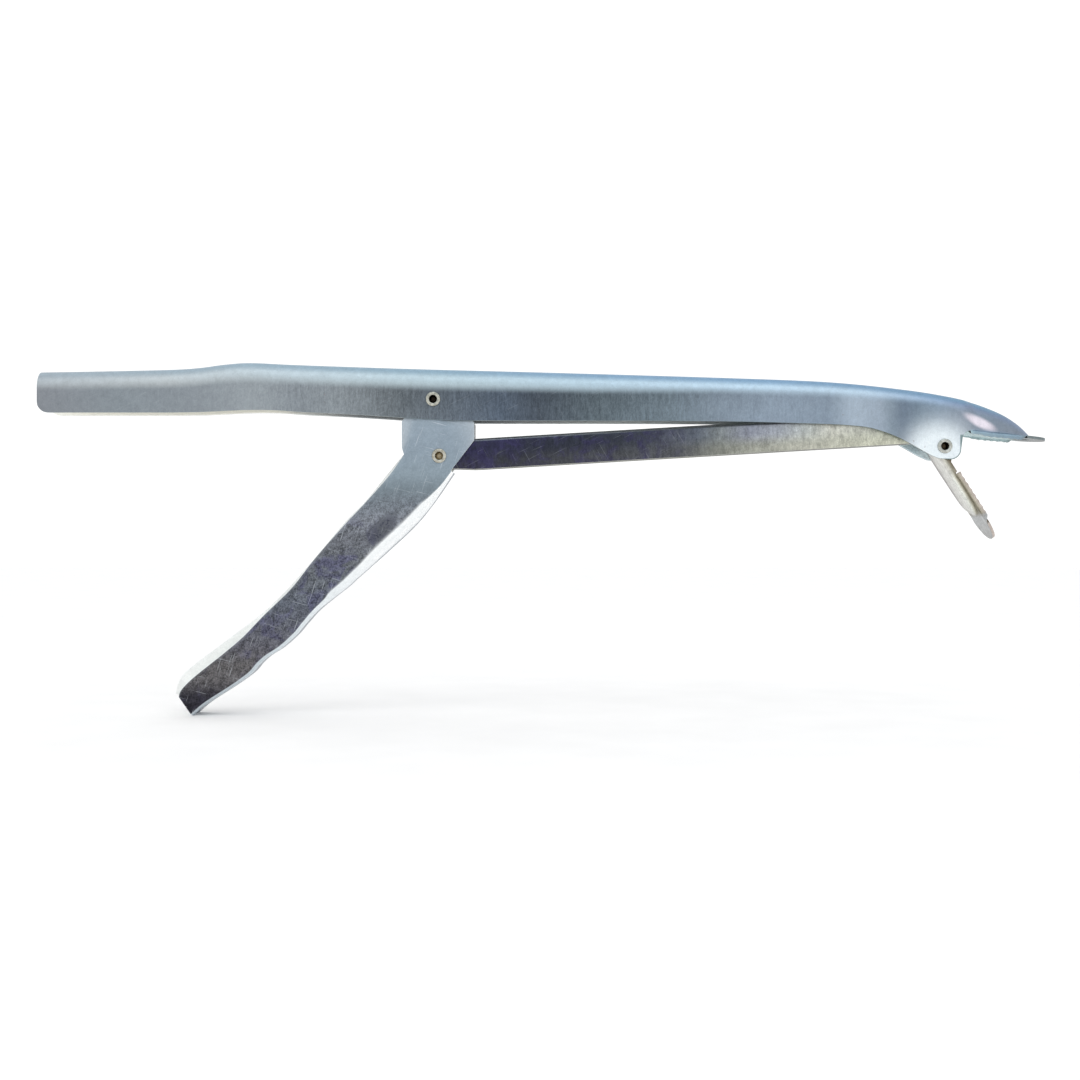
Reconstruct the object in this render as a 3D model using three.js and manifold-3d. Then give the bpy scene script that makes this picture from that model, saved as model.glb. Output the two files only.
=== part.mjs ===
// A long-reach squeeze gripper pressed from zinc-plated sheet steel.
// A deep inverted channel is the hand grip, the body and the fixed upper jaw in one piece.
// A squeeze lever pulls a connecting rod inside the channel, and the rod closes the lower jaw.
// Millimetres. X runs along the gripper towards the jaws and Z is up. Shapes are drawn in the
// linkage frame, whose origin is the main pivot, and the finished tree is moved so that its
// origin is the middle of the underside of its bounding box.
import * as THREE from 'three';
import { mergeVertices } from 'three/addons/utils/BufferGeometryUtils.js';
import Module from 'manifold-3d';

const wasm = await Module();
wasm.setup();

// Sheet and fits
const SHEET = 1.0;
const PIN_CLEARANCE = 0.1;

// Pivots of the linkage: main pivot, lever to rod, jaw to channel, rod to jaw
const MAIN_PIVOT = new THREE.Vector2(0, 0);
const ROD_PIVOT = new THREE.Vector2(2.2, -21.5);
const JAW_PIVOT = new THREE.Vector2(194.4, -17.9);
const CRANK_PIVOT = new THREE.Vector2(197.3, -9.9);

// Main channel
const GRIP_HALF_WIDTH = 8.0;
const EAR_HALF_WIDTH = 8.5;
const NOSE_HALF_WIDTH = 7.2;
const HANDLE_END_X = -150.6;
const NOSE_START_X = 200;
const NOSE_END_X = 229.4;
const SHOULDER_RADIUS = 6.5;
const BUTT_CORNER_RADIUS = 4.2;
const EAR_CORNER_RADIUS = 4.0;
const CREST = [
  [HANDLE_END_X, 10.8], [-127, 11.2], [-101, 11.8], [-90, 12.5], [-80, 13.8], [-70, 14.4],
  [-52, 13.6], [-8, 12.1], [48, 10.6], [114, 8.6], [152, 7.0], [180, 4.1], [195, 1.8],
  [205, -0.4], [212, -2.7], [218.7, -5.6], [224, -9.0], [227.6, -12.2], [NOSE_END_X, -14.2],
];
const LOWER_EDGE = [
  [-100, -5.1], [-88, -4.9], [-73, -4.2], [-61, -4.2], [-50, -4.9], [-35, -5.6], [-20, -6.5],
  [0, -7.8], [18, -8.2], [79, -8.3], [117, -8.6], [147, -9.4], [160, -10.1], [168, -11.4],
  [177.5, -14.9], [188, -20.7], [192, -22.5],
];

// Upper jaw brim: a flat plate with a serrated lip turned towards the mouth
const BRIM_START_X = 204.2;
const BRIM_TIP_X = 234.9;
const BRIM_HALF_WIDTH = 8.6;
const BRIM_TOP_Z = -12.0;
const BRIM_SLOPE = THREE.MathUtils.degToRad(5);
const LIP_DEPTH = 0.9;
const LIP_LENGTH = 19;
const TOOTH_PITCH = 2.5;
const TOOTH_DEPTH = 0.3;
const NOTCH_RADIUS = 1.3;

// Squeeze lever: the web line is the finger side, with three finger scallops
const LEVER_HALF_WIDTH = 6.6;
const LEVER_BEND_TOP = 3.8;
const LEVER_BEND_BUTT = 1.1;
const WEB_LINE = [
  [7.6, -27.8], [-4.3, -44.9], [-17.1, -57.5], [-29, -67.9], [-33.3, -71.8], [-43.4, -79.7],
  [-48.8, -85.4], [-52.6, -89.9], [-58.2, -94.9], [-63.3, -98.2], [-66.5, -101], [-69, -104],
  [-71.9, -106.4], [-77.5, -110.3], [-86.8, -116.3], [-91.8, -120.6],
];
const NEAR_EDGE = [
  [-97, -113.4], [-96, -110.7], [-91, -105.7], [-80.1, -97], [-72.5, -90.5], [-64.4, -82.1],
  [-54.1, -72], [-45.1, -60.6], [-34.2, -48.1], [-26.1, -39.5], [-16.9, -29.1], [-11.2, -21],
];
const FAR_EDGE = [
  [-101.1, -113.2], [-99.4, -107.8], [-94.4, -102.6], [-83.3, -94.2], [-77.7, -90], [-68.5, -83],
  [-58.8, -74], [-47.5, -61.2], [-35.6, -47], [-27.3, -38.5], [-19, -28.3], [-11.8, -19.6],
];
const LEVER_EAR = [
  [-12, -18.4], [-12, -8.4], [-5.4, 1.2], [-3.6, 4.2], [0, 5.5], [3.6, 4.2], [5.4, 1.6],
  [15.6, -8.8], [15.6, -15.6],
];

// Connecting rod
const ROD_HALF_WIDTH = 5.2;
const ROD_HALF_HEIGHT = 5.85;
const ROD_END_RADIUS = 4.6;
const ROD_BEND = 1.6;
const ROD_WEB_START = 7;
const ROD_WEB_STOP = 9;
const CRANK_HOLE_RADIUS = 2.85;

// Lower jaw, drawn along its own brim with the origin at its pivot
const JAW_REST_ANGLE = THREE.MathUtils.degToRad(57.3);
const JAW_HALF_WIDTH = 7.1;
const JAW_NOSE_HALF_WIDTH = 6.9;
const JAW_BACK = -3.9;
const JAW_WEB_START = -2;
const JAW_NECK_EDGE = -0.9;
const JAW_BEND = 1.7;
const JAW_BRIM_START = 11.3;
const JAW_BRIM_TIP = 40.5;
const JAW_BRIM_FACE = -1.2;
const JAW_DOME_START = 12;
const JAW_DOME_FALL = 23;
const JAW_DOME_END = 30.6;
const JAW_PIVOT_RADIUS = 4.2;
const CRANK_RADIUS = 3.2;

// Tubular rivets and the plain crank pin
const RIVET_RADIUS = 2.0;
const RIVET_BORE = 1.45;
const RIVET_BORE_DEPTH = 3.5;
const RIVET_RIM_RADIUS = 2.8;
const RIVET_RIM_HEIGHT = 0.7;
const CRANK_PIN_RADIUS = 1.6;

// Return spring
const WIRE_RADIUS = 0.45;
const COIL_RADIUS = 3.3;
const COIL_TURNS = 4;
const COIL_PITCH = 1.3;

function toSolid(geometry) {
  const bare = geometry.clone();
  bare.deleteAttribute('normal');
  bare.deleteAttribute('uv');
  const merged = mergeVertices(bare, 1e-5);
  return new wasm.Manifold(new wasm.Mesh({
    numProp: 3,
    vertProperties: new Float32Array(merged.attributes.position.array),
    triVerts: new Uint32Array(merged.index.array),
  }));
}

function toGeometry(solid) {
  const mesh = solid.getMesh();
  const geometry = new THREE.BufferGeometry();
  geometry.setAttribute('position', new THREE.BufferAttribute(mesh.vertProperties, 3));
  geometry.setIndex(new THREE.BufferAttribute(mesh.triVerts, 1));
  geometry.computeVertexNormals();
  return geometry;
}

const smoothstep = (x, low, high) => THREE.MathUtils.smoothstep(x, low, high);
const toVectors = (points) => points.map(([x, z]) => new THREE.Vector2(x, z));
const smoothLine = (points, count) => new THREE.SplineCurve(toVectors(points)).getPoints(count);

// A closed body through rings of equal length. Each ring is a list of Vector3, and the rings
// run along the direction that makes each ring counter-clockwise when it is looked at from the
// last ring towards the first.
function loft(rings, capTriangles) {
  const size = rings[0].length;
  const index = [];
  for (let level = 0; level + 1 < rings.length; level += 1) {
    for (let i = 0; i < size; i += 1) {
      const a = level * size + i;
      const b = level * size + ((i + 1) % size);
      index.push(a, b, b + size, a, b + size, a + size);
    }
  }
  const last = (rings.length - 1) * size;
  for (const [a, b, c] of capTriangles) {
    index.push(a, c, b, last + a, last + b, last + c);
  }
  const geometry = new THREE.BufferGeometry();
  const position = rings.flat().flatMap((point) => [point.x, point.y, point.z]);
  geometry.setAttribute('position', new THREE.Float32BufferAttribute(position, 3));
  geometry.setIndex(index);
  return geometry;
}

// Stack XZ outlines along Y. outlineAt(y) gives the outline at each level, all of one length.
function stack(levels, outlineAt) {
  const outlines = levels.map(outlineAt);
  const faces = THREE.ShapeUtils.triangulateShape(outlines[0].map((p) => p.clone()), []);
  const corner = faces[0].map((i) => outlines[0][i]);
  const sameWay = THREE.ShapeUtils.area(corner) * THREE.ShapeUtils.area(outlines[0]) > 0;
  const cap = faces.map(([a, b, c]) => (sameWay ? [a, b, c] : [a, c, b]));
  const rings = outlines.map((outline, i) => outline.map(
    (point) => new THREE.Vector3(point.x, levels[i], point.y),
  ));
  return toSolid(loft(rings, cap));
}

// A plate of constant XZ outline between two Y levels
function slab(shape, low, high, curveSegments = 8) {
  const geometry = new THREE.ExtrudeGeometry(shape, {
    depth: high - low, bevelEnabled: false, curveSegments,
  });
  geometry.rotateX(Math.PI / 2);
  geometry.translate(0, high, 0);
  return toSolid(geometry);
}

function pinHole(center, radius, reach = 20) {
  const shape = new THREE.Shape();
  shape.absarc(center.x, center.y, radius, 0, 2 * Math.PI);
  return slab(shape, -reach, reach, 12);
}

// Stations across a folded sheet, closer together where the bends are
function foldLevels(halfWidth) {
  const half = [0, 0.42, 0.7, 0.88, 0.97, 1].map((share) => share * halfWidth);
  return [...half.slice(1).reverse().map((y) => -y), ...half];
}

// How far a fold of a radius has fallen back from the web's face at level y
function foldDrop(y, halfWidth, radius) {
  const into = Math.max(0, Math.abs(y) - (halfWidth - radius));
  return radius - Math.sqrt(Math.max(0, radius * radius - into * into));
}

// Move each point of a line sideways, to the left of its direction of travel
function offsetLine(line, distanceAt) {
  return line.map((point, i) => {
    const before = line[Math.max(0, i - 1)];
    const after = line[Math.min(line.length - 1, i + 1)];
    const along = after.clone().sub(before).normalize();
    const share = i / (line.length - 1);
    return point.clone().add(new THREE.Vector2(-along.y, along.x)
      .multiplyScalar(distanceAt(share)));
  });
}

// The round-topped section of a channel: level underside, upright sides, rounded shoulders
function archSection(x, halfWidth, crest, radius, floor) {
  const steps = 5;
  const ring = [
    new THREE.Vector3(x, -halfWidth, floor),
    new THREE.Vector3(x, halfWidth, floor),
  ];
  for (const side of [1, -1]) {
    for (let i = 0; i <= steps; i += 1) {
      const angle = (Math.PI / 2) * (side > 0 ? i / steps : 1 - i / steps);
      ring.push(new THREE.Vector3(
        x,
        side * (halfWidth - radius + radius * Math.cos(angle)),
        crest - radius + radius * Math.sin(angle),
      ));
    }
  }
  return ring;
}

function archSolid(stations) {
  const rings = stations.map(({ x, halfWidth, crest, radius, floor }) => (
    archSection(x, halfWidth, crest, radius, floor)
  ));
  const fan = [];
  for (let i = 1; i + 1 < rings[0].length; i += 1) {
    fan.push([0, i, i + 1]);
  }
  return toSolid(loft(rings, fan));
}

// Half width of the channel's outside, or of its inside when the sheet is taken off
function channelHalfWidth(x, sheet) {
  const flare = smoothstep(x, 152, 176) * (EAR_HALF_WIDTH - GRIP_HALF_WIDTH);
  const straight = GRIP_HALF_WIDTH + flare - sheet;
  const reach = (x - NOSE_START_X) / (NOSE_END_X + 0.6 - 1.2 * sheet - NOSE_START_X);
  const round = Math.sqrt(Math.max(0, 1 - reach * reach));
  const nose = Math.max(0.4, (NOSE_HALF_WIDTH - sheet) * round);
  return THREE.MathUtils.lerp(straight, nose, reach > 0 ? smoothstep(x, 202, 207) : 0);
}

function channelStation(point, sheet) {
  const halfWidth = channelHalfWidth(point.x, sheet);
  return {
    x: point.x,
    halfWidth,
    crest: point.y,
    radius: Math.min(SHOULDER_RADIUS - sheet, 0.92 * halfWidth),
    floor: -40,
  };
}

// The brim's half width at a distance from its root: parallel at first, then a round end
function brimHalfWidth(distance, length, inset) {
  const share = Math.min(1, distance / (length - 0.6 * inset));
  return Math.max(0, (BRIM_HALF_WIDTH - inset) * (1 - share ** 7) ** 0.5);
}

// A brim plate along +X from its root, mouth side down. Its upper face is at z = 0.
function brimPlate(length) {
  const outline = (inset, top, bottom, span) => {
    const steps = 16;
    const shape = new THREE.Shape();
    const edge = [];
    for (let i = 0; i <= steps; i += 1) {
      const distance = span * Math.sin((Math.PI / 2) * (i / steps));
      edge.push([distance, brimHalfWidth(distance, length, inset)]);
    }
    shape.moveTo(inset > 0 ? -2 : 0, -edge[0][1]);
    edge.slice(0, -1).forEach(([x, y]) => shape.lineTo(x, -y));
    edge.reverse().forEach(([x, y]) => shape.lineTo(x, y));
    shape.lineTo(inset > 0 ? -2 : 0, edge.at(-1)[1]);
    const geometry = new THREE.ExtrudeGeometry(shape, { depth: top - bottom, bevelEnabled: false });
    geometry.translate(0, 0, bottom);
    return toSolid(geometry);
  };
  const whole = outline(0, 0, -SHEET - LIP_DEPTH, length);
  const pocket = outline(SHEET, -SHEET, -SHEET - LIP_DEPTH - 1, length - 0.6 * SHEET);
  const beyondLip = new THREE.BoxGeometry(length, 40, 4);
  beyondLip.translate(LIP_LENGTH + length / 2, 0, -SHEET - 2);
  const teeth = new THREE.Shape();
  const tips = -SHEET - LIP_DEPTH;
  teeth.moveTo(0.5, tips - 1);
  for (let x = 0.5; x < LIP_LENGTH; x += TOOTH_PITCH) {
    teeth.lineTo(x, tips);
    teeth.lineTo(x + TOOTH_PITCH / 2, tips + TOOTH_DEPTH);
  }
  teeth.lineTo(LIP_LENGTH + TOOTH_PITCH, tips);
  teeth.lineTo(LIP_LENGTH + TOOTH_PITCH, tips - 1);
  return whole.subtract(pocket).subtract(toSolid(beyondLip)).subtract(slab(teeth, -20, 20));
}

function mainChannel() {
  const crestLine = smoothLine(CREST, 32);
  const outer = archSolid(crestLine.map((point) => channelStation(point, 0)));
  const crestInside = offsetLine(crestLine, () => -SHEET)
    .filter((point) => point.x < NOSE_END_X - 1.4);
  crestInside.unshift(new THREE.Vector2(HANDLE_END_X - 2, crestInside[0].y));
  const inner = archSolid(crestInside.map((point) => ({
    ...channelStation(point, SHEET), floor: -42,
  })));
  const side = new THREE.Shape();
  side.moveTo(HANDLE_END_X, 30);
  side.lineTo(HANDLE_END_X, LOWER_EDGE[0][1] + BUTT_CORNER_RADIUS);
  side.absarc(
    HANDLE_END_X + BUTT_CORNER_RADIUS, LOWER_EDGE[0][1] + BUTT_CORNER_RADIUS,
    BUTT_CORNER_RADIUS, Math.PI, 1.5 * Math.PI,
  );
  smoothLine(LOWER_EDGE, 26).forEach((point) => side.lineTo(point.x, point.y));
  side.absarc(196.6, -19, EAR_CORNER_RADIUS, 1.5 * Math.PI, 2 * Math.PI);
  side.lineTo(201.2, -14.4);
  side.absarc(203.1, -13.6, NOTCH_RADIUS, 1.1 * Math.PI, 0.5 * Math.PI, true);
  side.lineTo(BRIM_START_X, BRIM_TOP_Z - 0.3);
  side.lineTo(NOSE_END_X + 1, BRIM_TOP_Z - 0.3 - Math.tan(BRIM_SLOPE) * 26.2);
  side.lineTo(NOSE_END_X + 1, 30);
  const shell = outer.subtract(inner).intersect(slab(side, -20, 20));
  const brim = brimPlate((BRIM_TIP_X - BRIM_START_X) / Math.cos(BRIM_SLOPE))
    .rotate([0, THREE.MathUtils.radToDeg(BRIM_SLOPE), 0])
    .translate([BRIM_START_X, 0, BRIM_TOP_Z])
    .subtract(inner);
  return shell.add(brim)
    .subtract(pinHole(MAIN_PIVOT, RIVET_RADIUS + PIN_CLEARANCE))
    .subtract(pinHole(JAW_PIVOT, RIVET_RADIUS + PIN_CLEARANCE));
}

function squeezeLever() {
  const web = smoothLine(WEB_LINE, 40);
  const near = smoothLine(NEAR_EDGE, 14);
  const far = smoothLine(FAR_EDGE, 14);
  const ear = toVectors(LEVER_EAR);
  // The fold starts tight under the ears, opens out along the grip and tightens to the butt
  const bend = (share) => THREE.MathUtils.lerp(
    LEVER_BEND_BUTT, LEVER_BEND_TOP, smoothstep(share, 0, 0.14) - smoothstep(share, 0.25, 1),
  );
  const outer = stack(foldLevels(LEVER_HALF_WIDTH), (y) => [
    ...offsetLine(web, (share) => -foldDrop(y, LEVER_HALF_WIDTH, bend(share))),
    ...(y < 0 ? near : far),
    ...ear,
  ]);
  const halfInside = LEVER_HALF_WIDTH - SHEET;
  const inner = stack(foldLevels(halfInside), (y) => [
    new THREE.Vector2(40, 30),
    new THREE.Vector2(40, -12),
    ...offsetLine(web, (share) => -SHEET - foldDrop(y, halfInside, bend(share) - 0.9 * SHEET)),
    new THREE.Vector2(-106, -132),
    new THREE.Vector2(-140, -100),
    new THREE.Vector2(-60, 30),
  ]);
  return outer.subtract(inner)
    .subtract(pinHole(MAIN_PIVOT, RIVET_RADIUS + PIN_CLEARANCE))
    .subtract(pinHole(ROD_PIVOT, RIVET_RADIUS + PIN_CLEARANCE));
}

// Drawn from its lever pivot at the origin to its crank pivot on +X, open below
function connectingRod() {
  const length = ROD_PIVOT.distanceTo(CRANK_PIVOT);
  const roundEnd = (x, start, radius) => Array.from({ length: 9 }, (_, i) => {
    const angle = start - (Math.PI * i) / 8;
    return new THREE.Vector2(x + radius * Math.cos(angle), radius * Math.sin(angle));
  });
  const outer = stack(foldLevels(ROD_HALF_WIDTH), (y) => {
    const drop = foldDrop(y, ROD_HALF_WIDTH, ROD_BEND);
    return [
      new THREE.Vector2(ROD_END_RADIUS, ROD_HALF_HEIGHT - drop),
      new THREE.Vector2(length - 2 * ROD_END_RADIUS, ROD_HALF_HEIGHT - drop),
      ...roundEnd(length, Math.PI / 2, ROD_END_RADIUS),
      new THREE.Vector2(length - 2 * ROD_END_RADIUS, -ROD_HALF_HEIGHT),
      new THREE.Vector2(3 * ROD_END_RADIUS, -ROD_HALF_HEIGHT),
      ...roundEnd(0, -Math.PI / 2, ROD_END_RADIUS),
    ];
  });
  const halfInside = ROD_HALF_WIDTH - SHEET;
  const inner = stack(foldLevels(halfInside), (y) => {
    const roof = ROD_HALF_HEIGHT - SHEET - foldDrop(y, halfInside, ROD_BEND - 0.9 * SHEET);
    return [
      new THREE.Vector2(-20, 20),
      new THREE.Vector2(ROD_WEB_START, 20),
      new THREE.Vector2(ROD_WEB_START, roof),
      new THREE.Vector2(length - ROD_WEB_STOP, roof),
      new THREE.Vector2(length - ROD_WEB_STOP, 20),
      new THREE.Vector2(length + 20, 20),
      new THREE.Vector2(length + 20, -20),
      new THREE.Vector2(-20, -20),
    ];
  });
  return outer.subtract(inner)
    .subtract(pinHole(new THREE.Vector2(0, 0), RIVET_RADIUS + PIN_CLEARANCE))
    .subtract(pinHole(new THREE.Vector2(length, 0), CRANK_HOLE_RADIUS));
}

// The crank pivot in the lower jaw's own frame
function crankInJaw() {
  return CRANK_PIVOT.clone().sub(JAW_PIVOT).rotateAround(new THREE.Vector2(), JAW_REST_ANGLE);
}

// Along +X from its pivot at the origin, mouth side up
function lowerJaw() {
  const station = (x, sheet) => {
    const reach = Math.max(0, (x - JAW_DOME_START) / (JAW_DOME_END + 0.4 - sheet - JAW_DOME_START));
    const straight = JAW_HALF_WIDTH - sheet;
    const nose = (JAW_NOSE_HALF_WIDTH - sheet) * Math.sqrt(Math.max(0.01, 1 - reach ** 3));
    const halfWidth = THREE.MathUtils.lerp(straight, nose, smoothstep(x, 10, 14));
    const fall = (x - JAW_DOME_FALL + sheet) / (JAW_DOME_END - JAW_DOME_FALL);
    const rise = Math.max(0, fall) ** 2 * (JAW_BRIM_FACE - SHEET - JAW_BACK);
    return {
      x,
      halfWidth,
      crest: -JAW_BACK - rise - sheet,
      radius: Math.min(JAW_BEND - 0.9 * sheet, 0.9 * halfWidth),
      floor: -20,
    };
  };
  const xs = (start, end) => Array.from({ length: 19 }, (_, i) => start + ((end - start) * i) / 18);
  // The tray is drawn with its back up, then turned over about the X axis
  const outer = archSolid(xs(-12, JAW_DOME_END).map((x) => station(x, 0))).rotate([180, 0, 0]);
  const inner = archSolid(xs(-14, JAW_DOME_END - 1.6).map((x) => ({
    ...station(x, SHEET), floor: -22,
  }))).rotate([180, 0, 0]);
  const crank = crankInJaw();
  const lean = crank.angle();
  const side = new THREE.Shape();
  side.absarc(crank.x, crank.y, CRANK_RADIUS, lean + Math.PI / 2, lean - Math.PI / 2, true);
  side.absarc(0, 0, JAW_PIVOT_RADIUS, lean - Math.PI / 2, 0.1 * Math.PI, true);
  side.lineTo(6.5, JAW_NECK_EDGE);
  side.lineTo(JAW_BRIM_START - 0.9, JAW_NECK_EDGE);
  side.absarc(JAW_BRIM_START, JAW_BRIM_FACE, 0.9, Math.PI, 2 * Math.PI);
  side.lineTo(JAW_BRIM_START + 1, JAW_BRIM_FACE - 0.4);
  side.lineTo(JAW_DOME_END + 2, JAW_BRIM_FACE - 0.4);
  side.lineTo(JAW_DOME_END + 2, JAW_BACK - 1);
  side.lineTo(JAW_WEB_START, JAW_BACK - 1);
  side.lineTo(JAW_WEB_START, JAW_BACK + 0.4);
  const shell = outer.subtract(inner).intersect(slab(side, -20, 20));
  const brim = brimPlate(JAW_BRIM_TIP - JAW_BRIM_START)
    .rotate([180, 0, 0])
    .translate([JAW_BRIM_START, 0, JAW_BRIM_FACE - SHEET])
    .subtract(inner);
  return shell.add(brim)
    .subtract(pinHole(new THREE.Vector2(0, 0), RIVET_RADIUS + PIN_CLEARANCE))
    .subtract(pinHole(crank, CRANK_PIN_RADIUS + PIN_CLEARANCE));
}

// A tubular rivet along Y, gripping a stack of a half width. Each end has a blind bore and a
// rolled rim.
function tubularRivet(halfGrip) {
  const under = halfGrip + PIN_CLEARANCE;
  const top = under + RIVET_RIM_HEIGHT;
  const bottom = under - RIVET_BORE_DEPTH;
  const half = [
    [RIVET_RADIUS, under], [RIVET_RIM_RADIUS, under], [RIVET_RIM_RADIUS, under + 0.25],
    [RIVET_RIM_RADIUS - 0.3, top - 0.1], [RIVET_RADIUS, top], [RIVET_BORE + 0.2, top - 0.15],
    [RIVET_BORE, bottom], [0, bottom],
  ];
  const mirrored = half.map(([r, y]) => [r, -y]).reverse();
  return new THREE.LatheGeometry(toVectors([...mirrored, ...half]), 20);
}

function crankPin() {
  const end = EAR_HALF_WIDTH - SHEET - 0.15;
  const profile = [
    [0, -end], [CRANK_PIN_RADIUS - 0.2, -end], [CRANK_PIN_RADIUS, -end + 0.3],
    [CRANK_PIN_RADIUS, end - 0.3], [CRANK_PIN_RADIUS - 0.2, end], [0, end],
  ];
  return new THREE.LatheGeometry(toVectors(profile), 24);
}

// A torsion spring round the main rivet: one leg bears on the channel's roof, the other on the
// lever's web
function returnSpring() {
  const points = [];
  const first = -(COIL_TURNS * COIL_PITCH) / 2;
  points.push(new THREE.Vector3(-26, first, 9.6), new THREE.Vector3(-14, first, 7.0));
  const steps = COIL_TURNS * 12;
  for (let i = 0; i <= steps; i += 1) {
    const angle = Math.PI / 2 - (2 * Math.PI * i) / 12 - (i * Math.PI) / (2 * steps);
    points.push(new THREE.Vector3(
      COIL_RADIUS * Math.cos(angle),
      first + (COIL_TURNS * COIL_PITCH * i) / steps,
      COIL_RADIUS * Math.sin(angle),
    ));
  }
  points.push(new THREE.Vector3(-5.6, -first, -22), new THREE.Vector3(-9.6, -first, -45.4));
  const wire = new THREE.Shape();
  wire.absarc(0, 0, WIRE_RADIUS, 0, 2 * Math.PI);
  return new THREE.ExtrudeGeometry(wire, {
    extrudePath: new THREE.CatmullRomCurve3(points, false, 'catmullrom', 0.5),
    steps: 84, curveSegments: 3, bevelEnabled: false,
  });
}

function piece(name, geometry, color, roughness, metalness, place) {
  const mesh = new THREE.Mesh(
    geometry,
    new THREE.MeshStandardMaterial({ color, roughness, metalness }),
  );
  mesh.name = name;
  if (place) {
    mesh.position.set(place.x, 0, place.y);
  }
  return mesh;
}

const channel = piece('main_channel', toGeometry(mainChannel()), 0x9aa3ab, 0.42, 0.9);
const lever = piece('squeeze_lever', toGeometry(squeezeLever()), 0x8d939e, 0.45, 0.9);
const rod = piece('connecting_rod', toGeometry(connectingRod()), 0x84868f, 0.45, 0.9, ROD_PIVOT);
rod.rotation.y = -CRANK_PIVOT.clone().sub(ROD_PIVOT).angle();
const jaw = piece('lower_jaw', toGeometry(lowerJaw()), 0xaaa89c, 0.45, 0.9, JAW_PIVOT);
jaw.rotation.y = JAW_REST_ANGLE;

const RIVET_COLOR = 0xb9b7ab;
const mainRivet = piece(
  'main_pivot_rivet', tubularRivet(GRIP_HALF_WIDTH), RIVET_COLOR, 0.35, 0.9, MAIN_PIVOT,
);
const rodRivet = piece(
  'rod_pivot_rivet', tubularRivet(LEVER_HALF_WIDTH), RIVET_COLOR, 0.35, 0.9, ROD_PIVOT,
);
const jawRivet = piece(
  'jaw_pivot_rivet', tubularRivet(EAR_HALF_WIDTH), RIVET_COLOR, 0.35, 0.9, JAW_PIVOT,
);
const pin = piece('crank_pin', crankPin(), 0x8f8f8c, 0.35, 0.9, CRANK_PIVOT);
const spring = piece('return_spring', returnSpring(), 0x6f7276, 0.4, 0.9);

const linkage = new THREE.Group();
linkage.add(channel, lever, rod, jaw, mainRivet, rodRivet, jawRivet, pin, spring);
linkage.updateMatrixWorld(true);
const bounds = new THREE.Box3().setFromObject(linkage, true);
linkage.position.set(
  -(bounds.min.x + bounds.max.x) / 2, -(bounds.min.y + bounds.max.y) / 2, -bounds.min.z,
);

const gripper = new THREE.Group();
gripper.add(linkage);

export default gripper;
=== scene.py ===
"""The looks of a squeeze gripper pressed from zinc-plated sheet steel.

Every pressing is one quad sheet that is given its thickness, its worn edges and its holes here.
Shapes are drawn in millimetres in the linkage frame, whose origin is the main pivot, and are
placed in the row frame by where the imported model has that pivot.
"""
import math

import bmesh
import bpy
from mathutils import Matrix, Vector


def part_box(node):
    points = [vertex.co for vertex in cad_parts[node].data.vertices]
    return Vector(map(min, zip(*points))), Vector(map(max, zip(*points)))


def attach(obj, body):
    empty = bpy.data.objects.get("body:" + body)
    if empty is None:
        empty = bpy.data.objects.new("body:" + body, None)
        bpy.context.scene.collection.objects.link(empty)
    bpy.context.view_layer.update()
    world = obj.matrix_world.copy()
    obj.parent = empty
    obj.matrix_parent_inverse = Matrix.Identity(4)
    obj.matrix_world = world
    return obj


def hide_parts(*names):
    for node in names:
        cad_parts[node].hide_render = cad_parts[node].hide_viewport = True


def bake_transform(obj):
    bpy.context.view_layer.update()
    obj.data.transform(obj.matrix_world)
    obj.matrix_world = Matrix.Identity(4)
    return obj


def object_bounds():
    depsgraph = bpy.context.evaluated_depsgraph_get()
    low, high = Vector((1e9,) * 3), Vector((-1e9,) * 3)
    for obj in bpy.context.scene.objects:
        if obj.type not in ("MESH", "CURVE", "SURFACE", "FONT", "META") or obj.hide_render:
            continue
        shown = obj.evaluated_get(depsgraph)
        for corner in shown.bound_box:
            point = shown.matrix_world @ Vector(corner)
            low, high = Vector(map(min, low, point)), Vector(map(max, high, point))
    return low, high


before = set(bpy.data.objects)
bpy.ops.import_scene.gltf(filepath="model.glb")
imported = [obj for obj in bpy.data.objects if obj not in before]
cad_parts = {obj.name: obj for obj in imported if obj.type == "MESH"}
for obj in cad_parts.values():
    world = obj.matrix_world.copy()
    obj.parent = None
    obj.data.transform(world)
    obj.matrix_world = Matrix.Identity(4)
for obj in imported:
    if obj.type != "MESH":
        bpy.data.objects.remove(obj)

CAD_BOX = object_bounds()
MM = 0.001

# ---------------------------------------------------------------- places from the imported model


def middle(node):
    """The middle of a CAD node's box, in metres."""
    low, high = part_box(node)
    return (low + high) / 2


PIVOT_PLACE = middle("main_pivot_rivet")


def in_linkage(node):
    """The middle of a CAD node in the linkage frame, as (x, z) in millimetres."""
    place = (middle(node) - PIVOT_PLACE) / MM
    return (place.x, place.z)


def place(x, y, z):
    """A point of the linkage frame, in millimetres, as a point of the row frame."""
    return PIVOT_PLACE + Vector((x, y, z)) * MM


MAIN_PIVOT = (0.0, 0.0)
ROD_PIVOT = in_linkage("rod_pivot_rivet")
JAW_PIVOT = in_linkage("jaw_pivot_rivet")
CRANK_PIVOT = in_linkage("crank_pin")

# ---------------------------------------------------------------- the shapes, in millimetres

SHEET = 1.0
EDGE_WEAR = 0.16
HOLE_RADIUS = 2.1

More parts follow.
